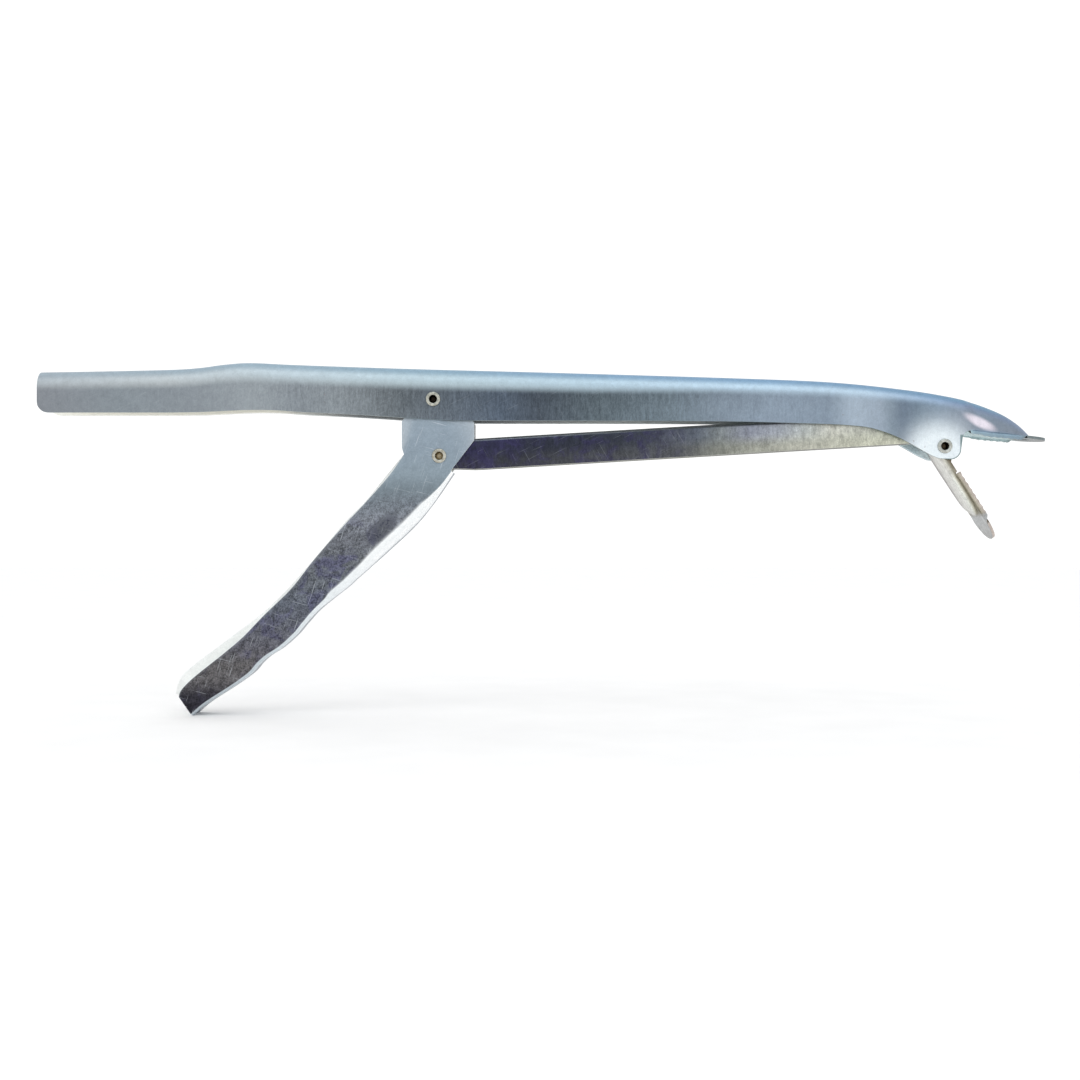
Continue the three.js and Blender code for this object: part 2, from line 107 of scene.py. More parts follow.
# The channel: crest and lower edge in side view, and half widths
HANDLE_END = -150.6
BUTT_RADIUS = 4.2
GRIP_HALF_WIDTH = 8.0
EAR_HALF_WIDTH = 8.5
EAR_FLARE = (152.0, 176.0)
SHOULDER_RADIUS = 6.5
CREST = [
    (HANDLE_END, 10.8), (-127, 11.2), (-101, 11.8), (-90, 12.5), (-80, 13.8), (-70, 14.4),
    (-52, 13.6), (-8, 12.1), (48, 10.6), (114, 8.6), (152, 7.0), (180, 4.1), (195, 1.8),
    (205, -0.4), (212, -2.7), (218.7, -5.6), (224, -9.0), (227.6, -12.2), (229.4, -14.2),
]
LOWER_EDGE = [
    (-100, -5.1), (-88, -4.9), (-73, -4.2), (-61, -4.2), (-50, -4.9), (-35, -5.6), (-20, -6.5),
    (0, -7.8), (18, -8.2), (79, -8.3), (117, -8.6), (147, -9.4), (160, -10.1), (168, -11.4),
    (177.5, -14.9), (188, -20.7), (192, -22.5),
]
EAR_CORNER = (196.6, -19.0)
EAR_CORNER_RADIUS = 4.0
EAR_SIDE_TOP = (201.2, -14.4)
NOTCH = (203.1, -13.6)
NOTCH_RADIUS = 1.3

# The channel's nose and the brim round it
NOSE_START = 200.0
NOSE_BLEND = (202.0, 207.0)
NOSE_END = 229.4
NOSE_HALF_WIDTH = 7.2
BRIM_START = 204.2
BRIM_TIP = 234.9
BRIM_TOP = -12.0
BRIM_SLOPE = math.radians(5)
BRIM_HALF_WIDTH = 8.6
LIP_DEPTH = 0.9
LIP_LENGTH = 19.0
LIP_FADE = 3.0
TOOTH_PITCH = 2.5
TOOTH_DEPTH = 0.3

# The squeeze lever: the web is the finger side, with three finger scallops
LEVER_HALF_WIDTH = 6.6
LEVER_BEND = [(0, 1.1), (0.05, 1.7), (0.1, 3.6), (0.15, 5.4), (0.3, 5.7), (0.38, 4.3),
              (0.48, 3.6), (0.56, 1.6), (1, 1.2)]
WEB_LINE = [
    (7.6, -27.8), (-4.3, -44.9), (-17.1, -57.5), (-29, -67.9), (-33.3, -71.8), (-43.4, -79.7),
    (-48.8, -85.4), (-52.6, -89.9), (-58.2, -94.9), (-63.3, -98.2), (-66.5, -101), (-69, -104),
    (-71.9, -106.4), (-77.5, -110.3), (-86.8, -116.3), (-91.8, -120.6),
]
NEAR_EDGE = [
    (-11.2, -21), (-16.9, -29.1), (-26.1, -39.5), (-34.2, -48.1), (-45.1, -60.6), (-54.1, -72),
    (-64.4, -82.1), (-72.5, -90.5), (-80.1, -97), (-91, -105.7), (-96, -110.7), (-97, -113.4),
]
FAR_EDGE = [
    (-11.8, -19.6), (-19, -28.3), (-27.3, -38.5), (-35.6, -47), (-47.5, -61.2), (-58.8, -74),
    (-68.5, -83), (-77.7, -90), (-83.3, -94.2), (-94.4, -102.6), (-99.4, -107.8),
    (-101.1, -113.2),
]
LEVER_EAR = [
    (15.6, -15.6), (15.6, -8.8), (5.4, 1.6), (3.6, 4.2), (0, 5.5), (-3.6, 4.2), (-5.4, 1.2),
    (-12, -8.4), (-12, -18.4),
]

# The connecting rod, drawn along +X from its lever pivot
ROD_HALF_WIDTH = 5.2
ROD_HALF_HEIGHT = 5.85
ROD_END_RADIUS = 4.6
ROD_BEND = 1.6
ROD_WEB_START = 7.0
ROD_WEB_STOP = 9.0
CRANK_HOLE_RADIUS = 2.85

# The lower jaw, drawn along its brim with its back up, from its pivot
JAW_REST_ANGLE = math.radians(57.3)
JAW_HALF_WIDTH = 7.1
JAW_NOSE_HALF_WIDTH = 6.9
JAW_BACK = 3.9
JAW_WEB_START = -2.0
JAW_NECK_EDGE = 0.9
JAW_BEND = 1.7
JAW_BRIM_START = 11.3
JAW_BRIM_TIP = 40.5
JAW_BRIM_TOP = 2.2
JAW_NOTCH_RADIUS = 0.5
JAW_NOTCH_LEVEL = 1.2
JAW_DOME_START = 12.0
JAW_DOME_FALL = 23.0
JAW_DOME_END = 30.6
JAW_PIVOT_RADIUS = 4.2
CRANK_RADIUS = 3.2

# Rivets, crank pin and spring
RIVET_RADIUS = 2.0
RIVET_BORE = 1.45
RIVET_BORE_DEPTH = 3.5
RIVET_RIM_RADIUS = 2.8
RIVET_RIM_HEIGHT = 0.7
RIVET_FIT = 0.1
CRANK_PIN_RADIUS = 1.6
WIRE_RADIUS = 0.45
COIL_RADIUS = 3.3
COIL_TURNS = 4
COIL_PITCH = 1.3
SPRING_CHANNEL_LEG = (-26.0, 9.6)
SPRING_LEVER_LEG = (-9.6, -45.4)

# ---------------------------------------------------------------- lines


def smooth(value, low, high):
    """0 below low, 1 above high, and a smooth step between them."""
    share = min(1.0, max(0.0, (value - low) / (high - low)))
    return share * share * (3 - 2 * share)


def mix(a, b, share):
    return a + (b - a) * share


def spline(points, count):
    """count + 1 points along the smooth line through the given (x, z) points."""
    last = len(points) - 1
    line = []
    for step in range(count + 1):
        along = last * step / count
        i = min(int(along), last - 1)
        t = along - i
        p0, p1 = points[max(i - 1, 0)], points[i]
        p2, p3 = points[i + 1], points[min(i + 2, last)]
        line.append(tuple(
            b + t * ((c - a) / 2 + t * ((2 * a - 5 * b + 4 * c - d) / 2
                                        + t * (3 * b - a - 3 * c + d) / 2))
            for a, b, c, d in zip(p0, p1, p2, p3)
        ))
    return line


def height_along(line):
    """A function from x to z for a line that only runs towards +X."""
    def height(x):
        if x <= line[0][0]:
            return line[0][1]
        for (x0, z0), (x1, z1) in zip(line, line[1:]):
            if x <= x1:
                return mix(z0, z1, (x - x0) / max(x1 - x0, 1e-9))
        return line[-1][1]
    return height


def evenly(line, count):
    """count + 1 points of a line, at even distances along it."""
    reach = [0.0]
    for a, b in zip(line, line[1:]):
        reach.append(reach[-1] + math.dist(a, b))
    points, i = [], 0
    for step in range(count + 1):
        target = reach[-1] * step / count
        while i < len(line) - 2 and reach[i + 1] < target:
            i += 1
        share = (target - reach[i]) / max(reach[i + 1] - reach[i], 1e-9)
        points.append(tuple(mix(a, b, share) for a, b in zip(line[i], line[i + 1])))
    return points


def arc(center, radius, start, stop, steps):
    """Points of a circular arc, with its angles in degrees."""
    angles = [math.radians(mix(start, stop, i / steps)) for i in range(steps + 1)]
    return [
        (center[0] + radius * math.cos(a), center[1] + radius * math.sin(a)) for a in angles
    ]


def spaced(low, high, gap):
    """Values from low up to, but not including, high, about a gap apart."""
    count = max(1, round((high - low) / gap))
    return [mix(low, high, i / count) for i in range(count)]


# ---------------------------------------------------------------- sheets of metal


class SheetMesh:
    """Collects quads and flat faces in the linkage frame, and turns them into one mesh."""

    def __init__(self, to_linkage=lambda x, y, z: (x, y, z)):
        self.points = []
        self.faces = []
        self.to_linkage = to_linkage

    def add_points(self, points):
        first = len(self.points)
        self.points.extend(points)
        return list(range(first, len(self.points)))

    def grid(self, rings, flip=False):
        """Quads between rings of (x, y, z) points of one length. Returns the point numbers."""
        rows = [self.add_points(ring) for ring in rings]
        for row, following in zip(rows, rows[1:]):
            for i in range(len(row) - 1):
                face = [row[i], row[i + 1], following[i + 1], following[i]]
                self.faces.append(face[::-1] if flip else face)
        return rows

    def flat(self, outline, flip=False):
        """One flat face. Its outline is a list of points or of point numbers."""
        numbers = [p if isinstance(p, int) else self.add_points([p])[0] for p in outline]
        self.faces.append(numbers[::-1] if flip else numbers)

    def build(self, name):
        mesh = bpy.data.meshes.new(name)
        mesh.from_pydata([place(*self.to_linkage(*p)) for p in self.points], [], self.faces)
        sheet = bmesh.new()
        sheet.from_mesh(mesh)
        bmesh.ops.remove_doubles(sheet, verts=sheet.verts, dist=0.015 * MM)
        bmesh.ops.dissolve_degenerate(sheet, edges=sheet.edges, dist=0.002 * MM)
        sheet.to_mesh(mesh)
        sheet.free()
        return add_object(name, mesh)


def add_object(name, data):
    obj = bpy.data.objects.new(name, data)
    bpy.context.scene.collection.objects.link(obj)
    return obj


def apply_modifiers(obj):
    """Bake an object's modifiers into its mesh."""
    depsgraph = bpy.context.evaluated_depsgraph_get()
    baked = bpy.data.meshes.new_from_object(obj.evaluated_get(depsgraph))
    old = obj.data
    obj.modifiers.clear()
    obj.data = baked
    bpy.data.meshes.remove(old)
    baked.name = obj.name


def hole_cutter(center, radius):
    """A long round bar along Y, to cut a hole with."""
    cutter = bmesh.new()
    bmesh.ops.create_cone(
        cutter, cap_ends=True, segments=40, radius1=radius * MM, radius2=radius * MM,
        depth=60 * MM,
    )
    bmesh.ops.rotate(cutter, verts=cutter.verts, matrix=rotation_to_y())
    bmesh.ops.translate(cutter, verts=cutter.verts, vec=place(center[0], 0, center[1]))
    mesh = bpy.data.meshes.new("cutter")
    cutter.to_mesh(mesh)
    cutter.free()
    return add_object("cutter", mesh)


def rotation_to_y():
    return Vector((0, 0, 1)).rotation_difference(Vector((0, 1, 0))).to_matrix()


def press(sheet, name, holes, finishes, edge_wear=EDGE_WEAR):
    """Give a sheet its thickness, round its cut edges, drill it and smooth its shading.

    finishes are the materials of its outside, its inside and its cut edges.
    """
    obj = sheet.build(name)
    for finish in finishes:
        obj.data.materials.append(finish)
    thickness = obj.modifiers.new("thickness", "SOLIDIFY")
    thickness.thickness = SHEET * MM
    thickness.offset = -1
    thickness.use_even_offset = False
    thickness.material_offset = 1
    thickness.material_offset_rim = 2
    worn_and_shaded = obj.modifiers.new("worn_edges", "BEVEL")
    worn_and_shaded.width = edge_wear * MM
    worn_and_shaded.segments = 2
    worn_and_shaded.limit_method = "ANGLE"
    worn_and_shaded.angle_limit = math.radians(50)
    cutters = [hole_cutter(center, radius) for center, radius in holes]
    for cutter in cutters:
        drill = obj.modifiers.new("drill", "BOOLEAN")
        drill.operation = "DIFFERENCE"
        drill.solver = "EXACT"
        drill.object = cutter
    apply_modifiers(obj)
    for cutter in cutters:
        bpy.data.objects.remove(cutter)
    finish_shading(obj, 25)
    return obj


def finish_shading(obj, sharp_angle):
    obj.data.polygons.foreach_set("use_smooth", [True] * len(obj.data.polygons))
    obj.data.set_sharp_from_angle(angle=math.radians(sharp_angle))
    obj.data.update()


# ---------------------------------------------------------------- domed pressings


def dome_section(half_width, crest, floor, radius, foot, rows=(3, 6, 10, 4)):
    """Half a domed section, as (distance from the middle, height) from its foot to its crest.

    rows are the steps along the flared foot, the upright side, the shoulder and the top.
    """
    side = max(0.0, crest - radius - floor)
    cut = math.asin(min(1.0, max(0.0, (floor - crest + radius) / radius)))
    shoulder = radius * (math.pi / 2 - cut)
    top = half_width - radius
    total = side + shoulder + top
    foot_end = min(1.2, 0.2 * total)
    side_end = max(side, foot_end + 0.1 * total)
    shoulder_end = max(side + shoulder, side_end + 0.2 * total)
    marks = [0.0]
    for start, stop, count in zip(
        (0.0, foot_end, side_end, shoulder_end), (foot_end, side_end, shoulder_end, total), rows,
    ):
        marks.extend(mix(start, stop, (i + 1) / count) for i in range(count))
    points = []
    for mark in marks:
        if mark <= side:
            out, up = half_width, floor + mark
        elif mark <= side + shoulder:
            angle = cut + (mark - side) / radius
            out = half_width - radius + radius * math.cos(angle)
            up = crest - radius + radius * math.sin(angle)
        else:
            out, up = max(0.0, total - mark), crest
        if mark < foot_end:
            out += foot * (1 - math.sqrt(1 - (1 - mark / foot_end) ** 2))
        points.append((out, up))
    return points


def mirrored_ring(x, half_section):
    """A whole section across, from the near foot over the crest to the far foot."""
    near = [(x, -out, up) for out, up in half_section]
    far = [(x, out, up) for out, up in half_section[:-1]]
    return near + far[::-1]


def brim_width(distance, length):
    """Half the brim's width at a distance from its root: parallel at first, then a round end."""
    share = min(1.0, distance / length)
    return BRIM_HALF_WIDTH * math.sqrt(1 - share ** 7)


def tooth_height(distance):
    """How far the lip's edge is cut back at a distance from the brim's root."""
    phase = (distance - 0.5) / TOOTH_PITCH
    if phase < 0 or distance > LIP_LENGTH:
        return 0.0
    return TOOTH_DEPTH * (1 - abs(2 * (phase % 1) - 1))


def brim_half_ring(x, distance, length, top, inner, side, rows=(7, 4, 3)):
    """Half the brim's section: over its flat, round its bend and down its serrated lip."""
    width = max(brim_width(distance, length), inner + 0.02)
    lip = 1 - smooth(distance, LIP_LENGTH, LIP_LENGTH + LIP_FADE)
    lip *= smooth(width - inner, 0.1, 1.1)
    depth = (SHEET + LIP_DEPTH - tooth_height(distance)) * lip
    bend = min(1.05 * lip, 0.9 * (width - inner))
    points = [(mix(inner, width - bend, i / rows[0]), top) for i in range(rows[0] + 1)]
    for i in range(1, rows[1] + 1):
        angle = math.pi / 2 * i / rows[1]
        points.append((
            width - bend + bend * math.sin(angle), top - bend + bend * math.cos(angle),
        ))
    for i in range(1, rows[2] + 1):
        points.append((width, mix(top - bend, top - max(depth, bend), i / rows[2])))
    return [(x, side * out, up) for out, up in points]


def add_brim(sheet, stations, length):
    """A brim plate round a dome. A station is (x, distance from the root, top, dome's foot)."""
    for side in (-1, 1):
        rings = [
            brim_half_ring(x, distance, length, top, foot, side)
            for x, distance, top, foot in stations
        ]
        sheet.grid(rings, flip=side > 0)


# ---------------------------------------------------------------- main channel

crest_height = height_along(spline(CREST, 400))
lower_height = height_along(spline(LOWER_EDGE, 400))


def channel_half_width(x):
    ear = mix(GRIP_HALF_WIDTH, EAR_HALF_WIDTH, smooth(x, *EAR_FLARE))
    reach = max(0.0, (x - NOSE_START) / (NOSE_END + 0.6 - NOSE_START))
    nose = NOSE_HALF_WIDTH * math.sqrt(max(0.0, 1 - reach * reach))
    return mix(ear, nose, smooth(x, *NOSE_BLEND))


def channel_floor(x):
    """The height of the channel's lower edge, from the butt's corner to the brim."""
    butt_center = (HANDLE_END + BUTT_RADIUS, LOWER_EDGE[0][1] + BUTT_RADIUS)
    corner_x, corner_z = EAR_CORNER
    if x < butt_center[0]:
        return butt_center[1] - math.sqrt(max(0.0, BUTT_RADIUS**2 - (butt_center[0] - x) ** 2))
    if x < LOWER_EDGE[-1][0]:
        return lower_height(x)
    if x < corner_x:
        return mix(lower_height(x), corner_z - EAR_CORNER_RADIUS,
                   (x - LOWER_EDGE[-1][0]) / (corner_x - LOWER_EDGE[-1][0]))
    if x <= corner_x + EAR_CORNER_RADIUS:
        return corner_z - math.sqrt(max(0.0, EAR_CORNER_RADIUS**2 - (x - corner_x) ** 2))
    if x <= EAR_SIDE_TOP[0]:
        return mix(corner_z, EAR_SIDE_TOP[1],
                   (x - corner_x - EAR_CORNER_RADIUS)
                   / (EAR_SIDE_TOP[0] - corner_x - EAR_CORNER_RADIUS))
    if x < NOTCH[0]:
        return NOTCH[1] + math.sqrt(max(0.0, NOTCH_RADIUS**2 - (NOTCH[0] - x) ** 2))
    if x < BRIM_START:
        return mix(NOTCH[1] + NOTCH_RADIUS, BRIM_TOP, (x - NOTCH[0]) / (BRIM_START - NOTCH[0]))
    return brim_top(x)


def brim_top(x):
    return BRIM_TOP - math.tan(BRIM_SLOPE) * (x - BRIM_START)


def channel_half_section(x):
    floor = channel_floor(x)
    crest = max(crest_height(x), floor)
    half_width = channel_half_width(x)
    foot = 0.9 * smooth(x, BRIM_START - 0.5, BRIM_START + 3) * min(1.0, crest - floor)
    radius = min(SHOULDER_RADIUS, 0.92 * half_width)
    return dome_section(half_width, crest, floor, radius, foot)


def channel_stations():
    """Where the channel's sections are: closer together at the butt, the ear and the nose."""
    corner_x = EAR_CORNER[0]
    return [
        *spaced(HANDLE_END, HANDLE_END + 0.6, 0.15),
        *spaced(HANDLE_END + 0.6, HANDLE_END + BUTT_RADIUS, 0.4),
        *spaced(HANDLE_END + BUTT_RADIUS, 176, 1.6),
        *spaced(176, corner_x, 0.8),
        *(corner_x + EAR_CORNER_RADIUS * math.sin(math.radians(a)) for a in range(0, 90, 9)),
        corner_x + EAR_CORNER_RADIUS,
        *spaced(EAR_SIDE_TOP[0], NOTCH[0] - NOTCH_RADIUS, 0.3),
        *(NOTCH[0] - NOTCH_RADIUS * math.cos(math.radians(a)) for a in range(5, 90, 12)),
        *spaced(NOTCH[0], BRIM_START, 0.35),
    ]


def nose_stations():
    return [*spaced(BRIM_START, NOSE_END, TOOTH_PITCH / 8), NOSE_END]


def build_main_channel(finishes):
    sheet = SheetMesh()
    rings = [mirrored_ring(x, channel_half_section(x)) for x in channel_stations()]
    feet = {}
    for x in nose_stations():
        half = channel_half_section(x)
        if x == NOSE_END:
            half = [(0.0, up) for _, up in half]
        feet[x] = half[0][0]
        rings.append(mirrored_ring(x, half))
    sheet.grid(rings, flip=True)
    length = (BRIM_TIP - BRIM_START) / math.cos(BRIM_SLOPE)
    tip = [
        mix(NOSE_END, BRIM_TIP, math.sin(math.pi / 2 * i / 14)) for i in range(1, 14)
    ]
    add_brim(sheet, [
        (x, (x - BRIM_START) / math.cos(BRIM_SLOPE), brim_top(x), feet.get(x, 0.0))
        for x in [*nose_stations(), *tip]
    ], length)
    holes = [(MAIN_PIVOT, HOLE_RADIUS), (JAW_PIVOT, HOLE_RADIUS)]
    return press(sheet, "body_pressing", holes, finishes, edge_wear=0.28)


# ---------------------------------------------------------------- folded pressings


def fold_rows(half_width, radius, steps):
    """The outside of a near fold, as (y, distance from the web's face), flange side first."""
    rows = []
    for i in range(steps + 1):
        angle = math.pi / 2 * i / steps
        rows.append((
            -half_width + radius * (1 - math.cos(angle)), radius * (1 - math.sin(angle)),
        ))
    return rows


# The fold starts tight under the ears, opens out along the grip and tightens again
lever_bend = height_along(spline(LEVER_BEND, 60))


def build_squeeze_lever(finishes, stations=110, flange_rows=5, fold_steps=7, web_rows=4):
    web = evenly(spline(WEB_LINE, 240), stations)
    near = evenly(spline(NEAR_EDGE, 160), stations)
    far = evenly(spline(FAR_EDGE, 160), stations)
    rings = []
    for i in range(stations + 1):
        before, after = web[max(0, i - 1)], web[min(stations, i + 1)]
        run = math.dist(before, after)
        inward = ((after[1] - before[1]) / run, -(after[0] - before[0]) / run)
        rows = fold_rows(LEVER_HALF_WIDTH, lever_bend(i / stations), fold_steps)
        fold = [
            (web[i][0] + inward[0] * drop, y, web[i][1] + inward[1] * drop) for y, drop in rows
        ]
        ring = [
            tuple(mix(a, b, k / flange_rows)
                  for a, b in zip((near[i][0], -LEVER_HALF_WIDTH, near[i][1]), fold[0]))
            for k in range(flange_rows)
        ]
        ring += fold
        ring += [
            (web[i][0], mix(fold[-1][1], -fold[-1][1], k / web_rows), web[i][1])
            for k in range(1, web_rows)
        ]
        ring += [(x, -y, z) for x, y, z in fold[::-1]]
        ring += [
            tuple(mix(b, a, k / flange_rows)
                  for a, b in zip((far[i][0], LEVER_HALF_WIDTH, far[i][1]),
                                  (fold[0][0], LEVER_HALF_WIDTH, fold[0][2])))
            for k in range(1, flange_rows + 1)
        ]
        rings.append(ring)
    sheet = SheetMesh()
    rows = sheet.grid(rings, flip=True)
    near_line = rows[0][:flange_rows + 1]
    far_line = rows[0][-flange_rows - 1:][::-1]
    for side, line in ((-1, near_line), (1, far_line)):
        ear = [(x, side * LEVER_HALF_WIDTH, z) for x, z in LEVER_EAR]
        sheet.flat([*line, *ear], flip=side > 0)
    holes = [(MAIN_PIVOT, HOLE_RADIUS), (ROD_PIVOT, HOLE_RADIUS)]
    return press(sheet, "lever_pressing", holes, finishes)


def rod_to_linkage(x, y, z):
    lean = math.atan2(CRANK_PIVOT[1] - ROD_PIVOT[1], CRANK_PIVOT[0] - ROD_PIVOT[0])
    return (
        ROD_PIVOT[0] + x * math.cos(lean) - z * math.sin(lean), y,
        ROD_PIVOT[1] + x * math.sin(lean) + z * math.cos(lean),
    )


def rod_underside(x):
    """The lower edge rises to the round end at the lever."""
    return -mix(ROD_END_RADIUS, ROD_HALF_HEIGHT, min(1.0, x / (3 * ROD_END_RADIUS)))


def build_connecting_rod(finishes):
    length = math.dist(ROD_PIVOT, CRANK_PIVOT)
    fold = fold_rows(ROD_HALF_WIDTH, ROD_BEND, 6)
    rings = []
    for x in [*spaced(ROD_WEB_START, length - ROD_WEB_STOP, 3), length - ROD_WEB_STOP]:
        near = [
            (x, -ROD_HALF_WIDTH, mix(rod_underside(x), ROD_HALF_HEIGHT - ROD_BEND, k / 4))
            for k in range(4)
        ]
        near += [(x, y, ROD_HALF_HEIGHT - drop) for y, drop in fold]
        top = [(x, mix(fold[-1][0], -fold[-1][0], k / 4), ROD_HALF_HEIGHT) for k in (1, 2, 3)]
        rings.append(near + top + [(x, -y, z) for x, y, z in near[::-1]])
    sheet = SheetMesh(rod_to_linkage)
    rows = sheet.grid(rings, flip=True)
    lever_end = [
        (0.0, -ROD_END_RADIUS), *arc((0, 0), ROD_END_RADIUS, -105, -255, 12),
        (0.0, ROD_END_RADIUS), (ROD_END_RADIUS, ROD_HALF_HEIGHT - ROD_BEND),
    ]
    jaw_end = [
        (length - 2 * ROD_END_RADIUS + 0.4, ROD_HALF_HEIGHT - ROD_BEND),
        *arc((length, 0), ROD_END_RADIUS, 90, -90, 14),
        (length - 2 * ROD_END_RADIUS + 0.4, -ROD_HALF_HEIGHT),
    ]
    for side in (-1, 1):
        first, last = (rows[0][:5], rows[-1][:5]) if side < 0 else (
            rows[0][-5:][::-1], rows[-1][-5:][::-1])
        at = side * ROD_HALF_WIDTH
        sheet.flat([*first[::-1], *((x, at, z) for x, z in lever_end)], flip=side < 0)
        sheet.flat([*last, *((x, at, z) for x, z in jaw_end)], flip=side < 0)
    holes = [(ROD_PIVOT, HOLE_RADIUS), (CRANK_PIVOT, CRANK_HOLE_RADIUS)]
    return press(sheet, "rod_pressing", holes, finishes)


# ---------------------------------------------------------------- lower jaw


def jaw_to_linkage(x, y, z):
    """From along the brim with the back up to the linkage frame, at the jaw's rest angle."""
    lean_cos, lean_sin = math.cos(JAW_REST_ANGLE), math.sin(JAW_REST_ANGLE)
    return (
        JAW_PIVOT[0] + x * lean_cos - z * lean_sin, -y,
        JAW_PIVOT[1] - x * lean_sin - z * lean_cos,
    )


def jaw_half_section(x):
    reach = max(0.0, (x - JAW_DOME_START) / (JAW_DOME_END + 0.4 - JAW_DOME_START))
    nose = JAW_NOSE_HALF_WIDTH * math.sqrt(max(0.01, 1 - reach ** 3))
    half_width = mix(JAW_HALF_WIDTH, nose, smooth(x, 10, 14))
    fall = max(0.0, (x - JAW_DOME_FALL) / (JAW_DOME_END - JAW_DOME_FALL))
    floor = JAW_BRIM_TOP
    if x < JAW_BRIM_START:
        floor = JAW_NECK_EDGE
        into = abs(x - JAW_BRIM_START)
        if into < JAW_NOTCH_RADIUS:
            floor = JAW_NOTCH_LEVEL + math.sqrt(JAW_NOTCH_RADIUS**2 - into**2)
    crest = JAW_BACK - fall ** 2 * (JAW_BACK - JAW_BRIM_TOP)
    crest = max(crest, floor)
    foot = 0.7 * smooth(x, JAW_BRIM_START - 0.5, JAW_BRIM_START + 3) * min(1.0, crest - floor)
    radius = min(JAW_BEND, 0.9 * half_width)
    return dome_section(half_width, crest, floor, radius, foot, rows=(2, 3, 7, 4))


def build_lower_jaw(finishes):
    sheet = SheetMesh(jaw_to_linkage)
    web_stations = [
        *spaced(JAW_WEB_START, 6.5, 0.85), *spaced(6.5, JAW_BRIM_START - JAW_NOTCH_RADIUS, 0.65),
        *(JAW_BRIM_START - JAW_NOTCH_RADIUS * math.cos(math.radians(a)) for a in range(0, 85, 12)),
    ]
    brim_stations = [*spaced(JAW_BRIM_START, JAW_DOME_END, TOOTH_PITCH / 8), JAW_DOME_END]
    rings, feet = [], {}
    for x in [*web_stations, *brim_stations]:
        half = jaw_half_section(x)
        if x == JAW_DOME_END:
            half = [(0.0, up) for _, up in half]
        feet[x] = half[0][0]
        rings.append(mirrored_ring(x, half))
    rows = sheet.grid(rings, flip=True)
    tip = [
        mix(JAW_DOME_END, JAW_BRIM_TIP, math.sin(math.pi / 2 * i / 20)) for i in range(1, 20)
    ]
    add_brim(sheet, [
        (x, x - JAW_BRIM_START, JAW_BRIM_TOP, feet.get(x, 0.0)) for x in [*brim_stations, *tip]
    ], JAW_BRIM_TIP - JAW_BRIM_START)
    # The ears stand up from the tray's edge round the pivot and the crank pin
    ear_stations = sum(x <= 6.5 + 1e-6 for x in web_stations)
    turned = (CRANK_PIVOT[0] - JAW_PIVOT[0], CRANK_PIVOT[1] - JAW_PIVOT[1])
    crank = (
        turned[0] * math.cos(JAW_REST_ANGLE) - turned[1] * math.sin(JAW_REST_ANGLE),
        -(turned[0] * math.sin(JAW_REST_ANGLE) + turned[1] * math.cos(JAW_REST_ANGLE)),
    )
    lean = math.degrees(math.atan2(crank[1], crank[0]))
    boss = arc(crank, CRANK_RADIUS, lean - 90, lean + 90, 14)
    neck = arc((0, 0), JAW_PIVOT_RADIUS, lean + 90, -18, 4)
    for side, column in ((-1, 0), (1, -1)):
        edge = [rows[i][column] for i in range(ear_stations)]
        start = [rows[0][k] if side < 0 else rows[0][-1 - k] for k in range(5, 0, -1)]
        outline = [*((x, side * JAW_HALF_WIDTH, z) for x, z in [*boss, *neck])]
        sheet.flat([*start, *edge, *outline[::-1]], flip=side < 0)
    holes = [(JAW_PIVOT, HOLE_RADIUS), (CRANK_PIVOT, CRANK_PIN_RADIUS + RIVET_FIT)]
    return press(sheet, "jaw_pressing", holes, finishes, edge_wear=0.12)


# ---------------------------------------------------------------- rivets, pin and spring


def turned_part(name, profile, center, segments=56):
    """A turned part along Y through a pivot. The profile is (radius, y) from end to end."""
    part = bmesh.new()
    rings = []
    for radius, y in profile:
        if radius < 1e-6:
            rings.append([part.verts.new(place(center[0], y, center[1]))])
            continue
        ring = []
        for i in range(segments):
            angle = 2 * math.pi * i / segments
            ring.append(part.verts.new(place(
                center[0] + radius * math.cos(angle), y, center[1] + radius * math.sin(angle),
            )))
        rings.append(ring)
    for ring, following in zip(rings, rings[1:]):
        for i in range(segments):
            j = (i + 1) % segments
            corners = [
                ring[i % len(ring)], ring[j % len(ring)],
                following[j % len(following)], following[i % len(following)],
            ]
            part.faces.new(list(dict.fromkeys(corners)))
    bmesh.ops.recalc_face_normals(part, faces=part.faces)
    mesh = bpy.data.meshes.new(name)
    part.to_mesh(mesh)
    part.free()
    obj = add_object(name, mesh)
    finish_shading(obj, 50)
    return obj


def build_rivet(name, center, half_grip):
    """A tubular rivet with a rolled rim and a blind bore at each end."""
    under = half_grip + RIVET_FIT
    half = [(RIVET_RADIUS, under), (RIVET_RIM_RADIUS - 0.12, under)]
    middle_radius = (RIVET_RIM_RADIUS + RIVET_BORE) / 2
    roll = (RIVET_RIM_RADIUS - RIVET_BORE) / 2
    for i in range(11):
        angle = math.pi * i / 10
        half.append((
            middle_radius + roll * math.cos(angle), under + 0.08
            + (RIVET_RIM_HEIGHT - 0.08) * math.sin(angle) ** 0.8,
        ))
    half += [(RIVET_BORE, under - 0.4), (RIVET_BORE, under - RIVET_BORE_DEPTH + 0.3),
             (RIVET_BORE - 0.3, under - RIVET_BORE_DEPTH), (0.0, under - RIVET_BORE_DEPTH)]
    profile = [(radius, -y) for radius, y in half][::-1] + half
    return turned_part(name, profile, center)


def build_crank_pin():
    end = EAR_HALF_WIDTH - SHEET - 0.15
    half = [
        (CRANK_PIN_RADIUS, end - 0.3), (CRANK_PIN_RADIUS - 0.06, end - 0.12),
        (CRANK_PIN_RADIUS - 0.22, end), (0.0, end),
    ]
    profile = [(radius, -y) for radius, y in half][::-1] + half
    return turned_part("crank_pin_turned", profile, CRANK_PIVOT)


